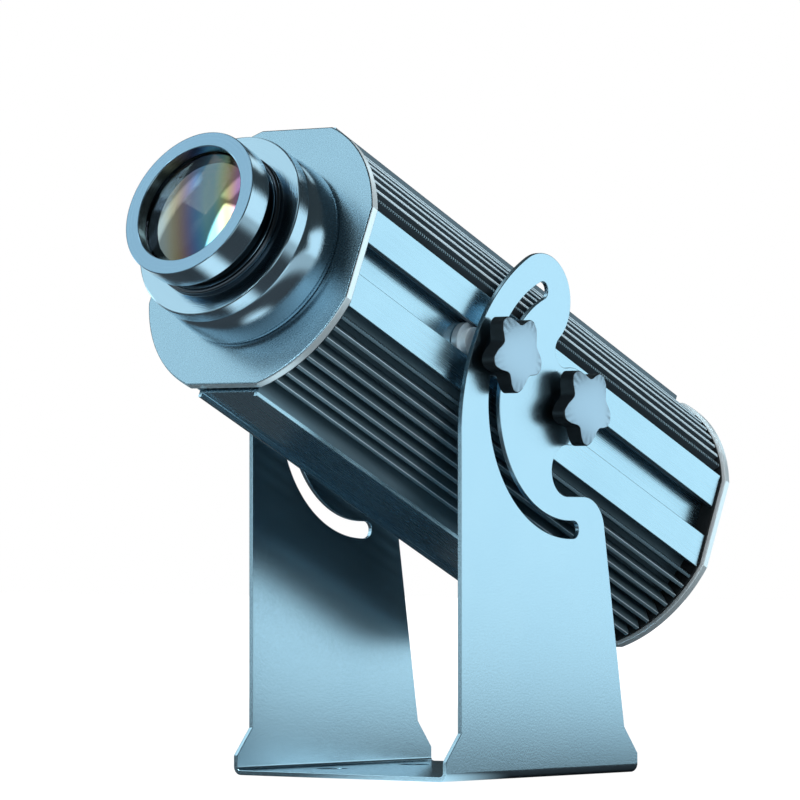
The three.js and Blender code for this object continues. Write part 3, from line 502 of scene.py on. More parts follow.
def turned(profile: Sequence[Point], steps: int = 112, round_by: float = 0.0) -> Mesh:
    """Spins a profile about the lens axis.

    Args:
        profile: Points of (radius, ahead). It is closed, unless it starts on the axis and ends there.
        steps: Facets round the turn.
        round_by: The width of the bevel on its sharp edges.

    Returns:
        The closed mesh.
    """
    bm = bmesh.new()
    verts = [bm.verts.new((radius, -ahead, 0)) for radius, ahead in profile]
    edges = [bm.edges.new(pair) for pair in zip(verts, verts[1:])]
    if profile[0][0] > 0:
        edges.append(bm.edges.new((verts[-1], verts[0])))
    bmesh.ops.spin(bm, geom=verts + edges, cent=(0, 0, 0), axis=(0, 1, 0), angle=FULL_TURN, steps=steps,
                   use_merge=True, use_duplicate=False)
    bmesh.ops.remove_doubles(bm, verts=bm.verts, dist=MERGE)
    bmesh.ops.recalc_face_normals(bm, faces=bm.faces)
    if round_by:
        soften(bm, round_by)
    return bm


def tube(bore: float, radius: float, back: float, front: float, steps: int = 48,
         round_by: float = 0.3) -> Mesh:
    """Turns a plain tube about the lens axis, or a rod where it has no bore.

    Args:
        bore: The radius of its bore, or 0.
        radius: Its own radius.
        back: Its rear end.
        front: Its front end.
        steps: Facets round it.
        round_by: The width of the bevel on its edges.

    Returns:
        The closed mesh.
    """
    return turned([(bore, back), (radius, back), (radius, front), (bore, front)], steps, round_by)


def quarter(steps: int) -> list[float]:
    """Gives the angles that part a quarter turn in steps, both ends included."""
    return [math.pi / 2 * step / steps for step in range(steps + 1)]


def arc(centre: Point, radius: float, start: float, end: float, steps: int = 16) -> list[Point]:
    """Gives points on a round stretch of an outline.

    Args:
        centre: The arc's centre.
        radius: Its radius.
        start: The angle at its start.
        end: The angle at its end; a smaller one than start runs clockwise.
        steps: Straight stretches along it.

    Returns:
        The points, both ends included.
    """
    turns = (start + (end - start) * step / steps for step in range(steps + 1))
    return [(centre[0] + radius * math.cos(turn), centre[1] + radius * math.sin(turn)) for turn in turns]


def oval(across: float, up: float, steps: int = 96, centre: Point = (0.0, 0.0)) -> list[Point]:
    """Gives the points of an oval.

    Args:
        across: The first half axis.
        up: The second half axis.
        steps: Points round it.
        centre: Its centre.

    Returns:
        The points.
    """
    turns = (FULL_TURN * step / steps for step in range(steps))
    return [(across * math.cos(turn) + centre[0], up * math.sin(turn) + centre[1]) for turn in turns]


def circle(radius: float, steps: int = 48, centre: Point = (0.0, 0.0)) -> list[Point]:
    """Gives the points of a circle."""
    return oval(radius, radius, steps, centre)


def drawn_in(loop: Sequence[Point], inset: float) -> list[Point]:
    """Draws a closed loop in towards its left side.

    Args:
        loop: The loop.
        inset: How far each of its sides moves.

    Returns:
        One point for each of the loop's points.
    """
    drawn = []
    for (x0, y0), (x1, y1), (x2, y2) in zip([loop[-1], *loop[:-1]], loop, [*loop[1:], loop[0]]):
        before, after = Vector((y0 - y1, x1 - x0)).normalized(), Vector((y1 - y2, x2 - x1)).normalized()
        mitre = (before + after) * inset / (1 + before.dot(after))
        drawn.append((x1 + mitre.x, y1 + mitre.y))
    return drawn


def with_left_inside(loop: Sequence[Point], hole: bool) -> list[Point]:
    """Drops repeated points and turns a loop so that the material lies on its left.

    Args:
        loop: The loop.
        hole: Whether it bounds a hole.

    Returns:
        The loop.
    """
    points = [point for point, last in zip(loop, [loop[-1], *loop[:-1]]) if math.dist(point, last) > MERGE]
    area = sum(x0 * y1 - x1 * y0 for (x0, y0), (x1, y1) in zip(points, [*points[1:], points[0]]))
    return points if (area > 0) != hole else points[::-1]


def joined(bm: Mesh, verts: Sequence[Vert]) -> list[Edge]:
    """Joins points with edges, the last one with the first too."""
    return [bm.edges.new(pair) for pair in zip(verts, [*verts[1:], verts[0]])]


def wall(bm: Mesh, lower: Sequence[Vert], upper: Sequence[Vert]) -> list[Face]:
    """Joins two loops of points with a band of faces.

    Args:
        bm: The mesh.
        lower: The first loop.
        upper: The second loop.

    Returns:
        The faces.
    """
    return [bm.faces.new(corners) for corners in zip(
        lower, [*lower[1:], lower[0]], [*upper[1:], upper[0]], upper)]


def plate(outline: Sequence[Point], holes: Iterable[Sequence[Point]], thickness: float,
          rounding: float = 0.0) -> Mesh:
    """Makes a flat plate in XY, from Z 0 to its thickness.

    Args:
        outline: The outer loop.
        holes: The loops of its holes.
        thickness: How thick the plate is.
        rounding: The radius along all its edges.

    Returns:
        The closed mesh.
    """
    lower = [(rounding * (1 - math.sin(turn)), rounding * (1 - math.cos(turn)))
             for turn in (quarter(EDGE_FACETS) if rounding else [0.0])]
    rings = lower + [(inset, thickness - height) for inset, height in reversed(lower)]
    bm = bmesh.new()
    caps: dict[int, list[Edge]] = {0: [], len(rings) - 1: []}
    for number, loop in enumerate((outline, *holes)):
        points = with_left_inside(loop, hole=number > 0)
        last: list[Vert] = []
        for level, (inset, height) in enumerate(rings):
            ring = [bm.verts.new((x, y, height)) for x, y in (drawn_in(points, inset) if inset else points)]
            if level in caps:
                caps[level] += joined(bm, ring)
            if last:
                wall(bm, last, ring)
            last = ring
    for edges in caps.values():
        bmesh.ops.triangle_fill(bm, use_beauty=True, use_dissolve=False, edges=edges, normal=(0, 0, 1))
    bmesh.ops.recalc_face_normals(bm, faces=bm.faces)
    return bm


# A plate's X, Y and Z to the head's X, up and ahead
PLATE_TO_AHEAD = Matrix(((1, 0, 0, 0), (0, 0, -1, 0), (0, 1, 0, 0), (0, 0, 0, 1)))
# A plate's X, Y and Z to Y, Z and X
PLATE_TO_ACROSS = Matrix(((0, 0, 1, 0), (1, 0, 0, 0), (0, 1, 0, 0), (0, 0, 0, 1)))


def ahead_plate(outline: Sequence[Point], holes: Iterable[Sequence[Point]], back: float, front: float,
                rounding: float = 0.0) -> Mesh:
    """Makes a plate that faces along the lens axis.

    Args:
        outline: The outer loop, by place across and up.
        holes: The loops of its holes.
        back: The plate's rear face, ahead of the pivot.
        front: The plate's front face, ahead of the pivot.
        rounding: The radius along all its edges.

    Returns:
        The closed mesh, in the head's frame.
    """
    bm = plate(outline, holes, front - back, rounding)
    bm.transform(Matrix.Translation((0, -back, 0)) @ PLATE_TO_AHEAD)
    bmesh.ops.recalc_face_normals(bm, faces=bm.faces)
    return bm


def flat_patches(bm: Mesh) -> dict[int, float]:
    """Gathers faces that lie in one plane and gives each face the area of its patch.

    Args:
        bm: The mesh.

    Returns:
        The patch's area by face number.
    """
    areas: dict[int, float] = {}
    for start in bm.faces:
        if start.index in areas:
            continue
        patch, queue = {start.index}, [start]
        total = 0.0
        while queue:
            face = queue.pop()
            total += face.calc_area()
            for edge in face.edges:
                if not edge.is_manifold or edge.calc_face_angle() > FLAT_ANGLE:
                    continue
                for other in edge.link_faces:
                    if other.index not in patch:
                        patch.add(other.index)
                        queue.append(other)
        areas.update(dict.fromkeys(patch, total))
    return areas


def shade(bm: Mesh) -> None:
    """Shades a mesh smooth, with sharp edges at corners and where a broad flat face meets a narrow one.

    Args:
        bm: The mesh.
    """
    bm.faces.index_update()
    areas = flat_patches(bm)
    for face in bm.faces:
        face.smooth = True
    for edge in bm.edges:
        if not edge.is_manifold:
            continue
        angle = edge.calc_face_angle()
        low, high = sorted(areas[face.index] for face in edge.link_faces)
        edge.smooth = angle < SHARP_ANGLE and (angle < FLAT_ANGLE or high < BROAD_SHARE * low)


def put(name: str, bm: Mesh, body: str, finishes: Sequence[Finish], nodes: Sequence[str] = (),
        place: Matrix = HEAD_PLACE) -> None:
    """Makes a finished piece of a mesh: places it, shades it, dresses it and hangs it on its body.

    Args:
        name: The piece's name.
        bm: The mesh, in millimetres. It is freed.
        body: The CAD body that it rides on.
        finishes: One finish for each material number that its faces use.
        nodes: The CAD nodes that it stands for.
        place: From the mesh's own axes to the row frame.
    """
    bm.transform(place)
    shade(bm)
    mesh = bpy.data.meshes.new(name)
    bm.to_mesh(mesh)
    bm.free()
    for finish in finishes:
        mesh.materials.append(finish.material())
    piece = bpy.data.objects.new(name, mesh)
    bpy.context.scene.collection.objects.link(piece)
    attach(piece, body)
    if nodes:
        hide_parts(*nodes)
    LOG.info("%s rides on %s", name, body)


def dress(node: str, finish: Finish) -> None:
    """Gives a CAD node a finish and leaves its shape alone.

    Args:
        node: The node's name.
        finish: Its finish.
    """
    materials = frame["nodes"][node].data.materials
    materials.clear()
    materials.append(finish.material())
    LOG.info("%s keeps its shape and gets %s", node, finish.name)


class SubAssembly(ABC):
    """A group of pieces that are built and dressed together."""

    @abstractmethod
    def build(self) -> None:
        """Builds and dresses its pieces."""


@dataclass
class Yoke(SubAssembly):
    """The bent sheet-steel yoke, cut as one flat blank and folded."""

    half_width: float = 70.25
    sheet: float = 2.5
    bend_inside: float = 2.0
    foot_front: float = 102.0
    foot_rear: float = 57.0
    pivot_height: float = 189.5
    foot_straight: float = 10.0
    flare_top: float = 24.0
    arm_front: float = 90.0
    arm_rear: float = 45.6
    lean: float = math.radians(9.4)
    shoulder_drop: float = 46.3
    shoulder_round: float = 18.0
    finger: float = 20.0
    lower_notch: float = 13.2
    upper_notch: float = 8.5
    lobe_radius: float = 24.0
    lobe: Point = (-24.0, 54.0)
    hook_drop: float = 15.1
    slot_radius: float = 63.4
    slot_width: float = 9.0
    slot_top: float = math.radians(68.3)
    slot_end: float = math.radians(92.0)
    bolt_hole: float = 4.5
    base_hole: float = 8.75
    base_hole_across: float = 43.0
    base_hole_inset: float = 46.0
    edge_round: float = 0.3
    bend_cuts: int = 12

    @property
    def bend_start(self) -> float:
        """Where the flat base ends and the bend starts, from the middle plane."""
        return self.half_width - self.sheet - self.bend_inside

    @property
    def bend_length(self) -> float:
        """The bend's length along the middle of the sheet."""
        return math.pi / 2 * (self.bend_inside + self.sheet / 2)

    def arm_outline(self) -> list[Point]:
        """Gives one arm's outline from its front foot round the hook to its rear foot.

        Returns:
            Points of (y, z) from the pivot, y growing towards the rear.
        """
        floor = -self.pivot_height
        lobe_y, lobe_z = self.lobe
        # The hook's back starts level with the arm's front edge and ends inside the lobe.
        reach = self.arm_front - self.lobe_radius
        rise = lobe_z + self.hook_drop
        hook_y = (lobe_y ** 2 + rise ** 2 - reach ** 2) / (2 * (reach + lobe_y))
        hook = (hook_y, -self.hook_drop)
        hook_turn = math.atan2(lobe_z - hook[1], lobe_y - hook[0])
        # The upper notch touches the lobe and the finger that holds the pivot bolt.
        to_lobe = self.lobe_radius + self.upper_notch
        to_pivot = self.finger + self.upper_notch
        span = math.hypot(lobe_y, lobe_z)
        along = (to_pivot ** 2 - to_lobe ** 2 + span ** 2) / (2 * span)
        aside = math.sqrt(to_pivot ** 2 - along ** 2)
        way = (lobe_y / span, lobe_z / span)
        upper = (way[0] * along + way[1] * aside, way[1] * along - way[0] * aside)
        # The lower notch touches the finger and the level shoulder.
        lower_z = self.lower_notch - self.shoulder_drop
        lower = (-math.sqrt((self.finger + self.lower_notch) ** 2 - lower_z ** 2), lower_z)
        # The shoulder's corner touches the leaning rear edge.
        corner_z = -self.shoulder_drop - self.shoulder_round
        up = corner_z - (floor + self.flare_top)
        inward = (self.shoulder_round + up * math.sin(self.lean)) / math.cos(self.lean)
        corner = (self.arm_rear - inward, corner_z)

        def angle(start: Point, end: Point) -> float:
            """Gives the direction from one point to another."""
            return math.atan2(end[1] - start[1], end[0] - start[0])

        # The last number of each arc is its count of straight stretches.
        pivot = (0.0, 0.0)
        outline = [(-self.foot_front, floor + self.foot_straight), (-self.arm_front, floor + self.flare_top)]
        outline += arc(hook, hook[0] + self.arm_front, math.pi, hook_turn, 36)
        outline += arc(self.lobe, self.lobe_radius, hook_turn, angle(self.lobe, upper), 40)
        outline += arc(upper, self.upper_notch, angle(upper, self.lobe), angle(upper, pivot) + FULL_TURN, 24)
        outline += arc(pivot, self.finger, angle(pivot, upper), angle(pivot, lower), 28)
        outline += arc(lower, self.lower_notch, angle(lower, pivot) - FULL_TURN, -math.pi / 2, 32)
        outline += arc(corner, self.shoulder_round, math.pi / 2, self.lean, 14)
        outline += [(self.arm_rear, floor + self.flare_top), (self.foot_rear, floor + self.foot_straight)]
        return outline

    def slot_outline(self) -> list[Point]:
        """Gives the outline of the arc slot that the locking bolt runs in."""
        half = self.slot_width / 2
        top, end = math.pi - self.slot_top, math.pi + self.slot_end

        def centre(turn: float) -> Point:
            """Gives the place on the slot's middle line at an angle."""
            return self.slot_radius * math.cos(turn), self.slot_radius * math.sin(turn)

        outline = arc((0, 0), self.slot_radius + half, top, end, 56)
        outline += arc(centre(end), half, end, end + math.pi, 12)[1:-1]
        outline += arc((0, 0), self.slot_radius - half, end, top, 56)
        outline += arc(centre(top), half, top - math.pi, top, 12)[1:-1]
        return outline

    def unfolded(self, point: Point) -> Point:
        """Turns a place on the arm to a place on the flat blank.

        Args:
            point: The (y, z) place from the pivot.

        Returns:
            The distance along the sheet from the middle plane, and y.
        """
        y, z = point
        above_bend = z + self.pivot_height - self.bend_inside - self.sheet
        return self.bend_start + self.bend_length + above_bend, y

    def folded(self, place: Vector) -> Vector:
        """Folds a place on the flat blank up into the U.

        Args:
            place: Distance along the sheet, y, and height above the outer face.

        Returns:
            The place from the pivot.
        """
        along, y, depth = place
        radius = self.bend_inside + self.sheet - depth
        turn = min(max((along - self.bend_start) / self.bend_length, 0.0), 1.0) * math.pi / 2
        beyond = max(along - self.bend_start - self.bend_length, 0.0)
        x = min(along, self.bend_start) + radius * math.sin(turn)
        z = self.bend_inside + self.sheet - radius * math.cos(turn) + beyond
        return Vector((x, y, z - self.pivot_height))

    def build(self) -> None:
        """Cuts half the blank, softens its edges, folds it and mirrors it."""
        outline = [(0.0, -self.foot_front), *map(self.unfolded, self.arm_outline()), (0.0, self.foot_rear)]
        holes = [[self.unfolded(point) for point in hole]
                 for hole in (self.slot_outline(), circle(self.bolt_hole, 40))]
        for y in (-self.foot_front + self.base_hole_inset, self.foot_rear - self.base_hole_inset):
            holes.append(circle(self.base_hole, centre=(self.base_hole_across, y)))
        bm = plate(outline, holes, self.sheet, self.edge_round)
        for vert in bm.verts:
            if vert.co.x < self.edge_round + MERGE:
                vert.co.x = 0.0  # the cut along the middle stays square, as the other half joins on there
        middle = [face for face in bm.faces if all(abs(vert.co.x) < MERGE for vert in face.verts)]
        bmesh.ops.delete(bm, geom=middle, context="FACES")
        for cut in range(self.bend_cuts + 1):
            line = self.bend_start + self.bend_length * cut / self.bend_cuts
            bmesh.ops.bisect_plane(bm, geom=[*bm.verts, *bm.edges, *bm.faces], dist=MERGE / 10,
                                   plane_co=(line, 0, 0), plane_no=(1, 0, 0))
        for vert in bm.verts:
            vert.co = self.folded(vert.co)
        bmesh.ops.mirror(bm, geom=[*bm.verts, *bm.edges, *bm.faces], axis="X", merge_dist=MERGE * 10)
        bmesh.ops.recalc_face_normals(bm, faces=bm.faces)
        put("yoke_sheet", bm, "yoke", [YOKE_COAT], ["yoke"], YOKE_PLACE)


@dataclass
class Stations:
    """Places along the lens axis, ahead of the pivot, as in the part's source."""

    head_front: float = 172.7
    head_rear: float = -143.0
    seal: float = 1.4
    front_plate: float = 5.0
    rear_plate: float = 4.0

    @property
    def front_plate_back(self) -> float:
        """The rear face of the front plate."""
        return self.head_front + 2 * SEAT_GAP + self.seal

    @property
    def front_plate_face(self) -> float:
        """The front face of the front plate."""
        return self.front_plate_back + self.front_plate

    @property
    def rear_plate_front(self) -> float:
        """The inner face of the rear plate."""
        return self.head_rear - 2 * SEAT_GAP - self.seal

    @property
    def rear_plate_back(self) -> float:
        """The outer face of the rear plate."""
        return self.rear_plate_front - self.rear_plate

    @property
    def mount_base(self) -> float:
        """Where the lens mount sits on the front plate."""
        return self.front_plate_face + SEAT_GAP


AT = Stations()


def on_oval(across: float, up: float, turn: float) -> Point:
    """Gives the point of an oval in a direction.

    Args:
        across: The half axis across.
        up: The half axis up.
        turn: The direction's angle.

    Returns:
        The point.
    """
    reach = 1 / math.hypot(math.cos(turn) / across, math.sin(turn) / up)
    return reach * math.cos(turn), reach * math.sin(turn)


def four_corners(points: Sequence[Point]) -> list[Point]:
    """Repeats a corner's points in the other three corners.

    Args:
        points: The points of the first corner, from the side to the top.

    Returns:
        The closed outline.
    """
    back = points[::-1]
    return [*points, *((-x, y) for x, y in back), *((-x, -y) for x, y in points), *((x, -y) for x, y in back)]


class Zone(IntEnum):
    """Where a face of the extrusion lies; the value is the number of its finish. The shade zones get painted
    shade, and the tip zone a painted highlight.
    """

    OPEN = 0
    PAINTED_SHADE_ABOVE = 1
    RIBBED_TIP = 2
    TIP = 3
    PAINTED_SHADE_BELOW = 4


@dataclass
class Housing(SubAssembly):
    """The finned extrusion: eight fins in each corner, a T-channel in each side, rails above and below."""

    side_flat: float = 62.3
    fin_across: float = 66.8
    fin_up: float = 73.5
    fin_depth: float = 10.0
    fins: int = 8
    fin_tip: float = 2.0
    fin_root: float = 2.7
    bore_across: float = 50.5
    bore_up: float = 60.0
    rail_half: float = 19.2
    rail_lip: float = 2.0
    rail_top: float = 74.6
    rail_floor: float = 72.4
    rail_edge: float = 2.2
    mouth: float = 16.8
    lip: float = 3.0
    under: float = 22.0
    depth: float = 7.5
    rod_across: float = 12.0
    rod_up: float = 66.2
    rod_hole: float = 2.2
    edge_round: float = 0.35
    bore_reach: float = 1.02  # a face within this many times the bore's oval lies in the bore
    tip_reach: float = 0.988  # a face beyond this share of the fins' oval lies on their tips
    tip_facing: float = 0.95  # a lower fin's face that looks outwards by more has the gaps' finish

    @property
    def core(self) -> Point:
        """The half axes of the oval at the fins' roots."""
        return self.fin_across - self.fin_depth, self.fin_up - self.fin_depth

    @property
    def flat_up(self) -> float:
        """How far up each side flat reaches."""
        return self.fin_up * math.sqrt(1 - (self.side_flat / self.fin_across) ** 2)

    @property
    def flat_turn(self) -> float:
        """The direction of the flat's upper edge."""
        return math.atan2(self.flat_up, self.side_flat)

    @property
    def rail_foot(self) -> float:
        """How far up the rail's side starts."""
        core_across, core_up = self.core
        return core_up * math.sqrt(1 - (self.rail_half / core_across) ** 2)

    @property
    def pitch(self) -> float:
        """The angle from fin to fin."""
        return (math.atan2(self.rail_foot, self.rail_half) - self.flat_turn) / (self.fins + 1)

    def corner(self) -> list[Point]:
        """Gives one corner of the section, from the side channel to the top rail.

        Returns:
            The points, by place across and up.
        """
        core, tips = self.core, (self.fin_across, self.fin_up)
        wall_x, flat_turn = self.side_flat, self.flat_turn
        points: list[Point] = [
            (wall_x - self.depth, self.under / 2), (wall_x - self.lip, self.under / 2),
            (wall_x - self.lip, self.mouth / 2), (wall_x, self.mouth / 2),
            (wall_x, self.flat_up), on_oval(*core, flat_turn),
        ]
        half_root, half_tip = self.fin_root / 2 / core[1], self.fin_tip / 2 / self.fin_up
        for fin in range(1, self.fins + 1):
            turn = flat_turn + fin * self.pitch
            points += [on_oval(*core, turn - half_root), on_oval(*tips, turn - half_tip),
                       on_oval(*tips, turn + half_tip), on_oval(*core, turn + half_root)]
        inner = self.rail_half - self.rail_lip
        points += [(self.rail_half, self.rail_foot), (self.rail_half, self.rail_top - self.rail_edge),
                   (self.rail_half, self.rail_top), (inner, self.rail_top), (inner, self.rail_floor)]
        return points

    def rods(self) -> list[Point]:
        """Gives the places of the four tie rods, in the order of their nodes."""
        return [(x * self.rod_across, up * self.rod_up) for x, up in ((1, 1), (-1, 1), (-1, -1), (1, -1))]

    def build(self) -> None:
        """Builds the extrusion with softened fins."""
        holes = [oval(self.bore_across, self.bore_up)]
        holes += [circle(self.rod_hole, 20, rod) for rod in self.rods()]
        bm = ahead_plate(four_corners(self.corner()), holes, AT.head_rear, AT.head_front)
        soften(bm, self.edge_round, self.runs_along)
        for face in bm.faces:
            face.material_index = self.zone(face)
        put("finned_housing", bm, "head",
            [HOUSING_COAT, GAP_PAINTED_SHADE, RIBBED_EDGE_PAINTED_GROOVES, FIN_TIP_PAINTED_HIGHLIGHT, LOW_GAP_PAINTED_SHADE], ["housing_extrusion"])

    def zone(self, face: Face) -> Zone:
        """Says where a face of the extrusion lies.

        Args:
            face: The face.

        Returns:
            Its zone.
        """
        middle, sideways = face.calc_center_median(), abs(face.normal.x)
        across, up, above = abs(middle.x), abs(middle.z), middle.z > 0
        # Faces in the gaps, on the channels' walls, on the top rail's sides and on the lower fins' outward
        # faces take painted shade, lighter below the middle.
        gap = Zone.PAINTED_SHADE_ABOVE if above else Zone.PAINTED_SHADE_BELOW
        in_bore = math.hypot(across / self.bore_across, up / self.bore_up) < self.bore_reach
        on_flat = across > self.side_flat - 1.5 * self.edge_round
        on_channel_floor = up < self.under / 2 and sideways > FACING
        if abs(face.normal.y) > 0.5 or in_bore or on_flat or on_channel_floor:
            return Zone.OPEN
        if across < self.rail_half + self.edge_round and up > self.rail_floor - MERGE:
            return gap if above and sideways > 0.5 else Zone.OPEN
        outward = Vector((middle.x, 0, middle.z)).normalized().dot(face.normal)
        in_gap = math.hypot(across / self.fin_across, up / self.fin_up) < self.tip_reach
        if in_gap or (not above and outward > self.tip_facing):
            return gap
        # The other tips take the painted highlight, and the first fin's tip its ribs with painted grooves.
        from_first = abs(math.atan2(up, across) - self.flat_turn - self.pitch)
        return Zone.RIBBED_TIP if from_first < self.pitch / 2 else Zone.TIP

    def runs_along(self, edge: Edge) -> bool:
        """Says whether an edge runs the whole length of the extrusion."""
        return edge.calc_length() > AT.head_front


@dataclass
class EndPlates(SubAssembly):
    """Both end plates with their seals, and the tie rods that draw them together."""

    housing: Housing
    across: float = 68.8
    up: float = 75.5
    half_width: float = 65.0
    half_height: float = 71.2
    chamfer: float = 0.8
    seal_inset: float = 2.0
    mount_hole: float = 44.0
    gland_hole: float = 8.1
    gland_drop: float = 34.0
    rod_radius: float = 1.9
    rod_head: float = 3.6
    rod_head_height: float = 2.4
    rod_socket: float = 1.75
    rod_socket_depth: float = 1.4
    rod_head_round: float = 0.6
    rod_point: float = 0.5
    seal_round: float = 0.2
    outline_steps: int = 22
    rim_facing: float = 0.3  # a rim's normal has less than this along the lens axis

    def outline(self, inset: float = 0.0) -> list[Point]:
        """Gives the oval with flats that both plates and seals have.

        Args:
            inset: How far the outline is drawn in.

        Returns:
            The closed outline.
        """
        across, up = self.across - inset, self.up - inset
        side, top = self.half_width - inset, self.half_height - inset
        start = math.atan2(up * math.sqrt(1 - (side / across) ** 2), side)
        end = math.atan2(top, across * math.sqrt(1 - (top / up) ** 2))
        steps = self.outline_steps
        return four_corners([on_oval(across, up, start + (end - start) * step / steps)
                             for step in range(steps + 1)])

    def rod_holes(self) -> list[list[Point]]:
        """Gives the clearance holes of the tie rods."""
        return [circle(self.rod_radius + SEAT_GAP, 20, rod) for rod in self.housing.rods()]

    def seal(self, back: float) -> Mesh:
        """Cuts one flat seal.

        Args:
            back: Its rear face, ahead of the pivot.

        Returns:
            The mesh.
        """
        bore = oval(self.housing.bore_across + SEAT_GAP, self.housing.bore_up + SEAT_GAP)
        return ahead_plate(self.outline(self.seal_inset), [bore, *self.rod_holes()], back, back + AT.seal,
                           self.seal_round)

    def rod(self) -> Mesh:
        """Builds a tie rod with a socket head, about its own axis."""
        tip = AT.front_plate_back + AT.front_plate / 2
        seat = AT.rear_plate_back - SEAT_GAP
        crown = seat - self.rod_head_height
        well = crown + self.rod_socket_depth
        bm = turned([
            (0, well), (self.rod_socket, well), (self.rod_socket, crown), (self.rod_head, crown),
            (self.rod_head, seat), (self.rod_radius, seat), (self.rod_radius, tip - self.rod_point),
            (self.rod_radius - self.rod_point, tip), (0, tip),
        ], steps=24)
        between = (self.rod_socket + self.rod_head) / 2
        rim = [edge for edge in bm.edges if all(abs(vert.co.y + crown) < MERGE for vert in edge.verts)
               and math.hypot(edge.verts[0].co.x, edge.verts[0].co.z) > between]
        bevel(bm, rim, self.rod_head_round, segments=4)
        return bm

    def build(self) -> None:
        """Builds both plates, both seals and the four rods."""
        front = ahead_plate(self.outline(), [circle(self.mount_hole, 112)],
                            AT.front_plate_back, AT.front_plate_face, self.chamfer)
        gland = circle(self.gland_hole, centre=(0, -self.gland_drop))
        rear = ahead_plate(self.outline(), [gland, *self.rod_holes()],
                           AT.rear_plate_back, AT.rear_plate_front, self.chamfer / 2)
        for end, bm in (("front", front), ("rear", rear)):
            # A rim takes the painted highlight.
            for face in bm.faces:
                along = abs(face.normal.y) if end == "front" else face.normal.y
                face.material_index = int(along < self.rim_facing)
            put(f"{end}_end_plate", bm, "head", [PLATE_COAT, PLATE_RIM_PAINTED_HIGHLIGHT], [f"{end}_plate"])
        for end, back in (("front", AT.head_front + SEAT_GAP), ("rear", AT.head_rear - SEAT_GAP - AT.seal)):
            put(f"{end}_flat_seal", self.seal(back), "head", [SEAL_RUBBER], [f"{end}_seal"])
        for number, (x, up) in enumerate(self.housing.rods(), start=1):
            put(f"socket_head_tie_rod_{number}", self.rod(), "head", [ZINC_STEEL],
                [f"tie_rod_{number}"], HEAD_PLACE @ Matrix.Translation((x, 0, up)))


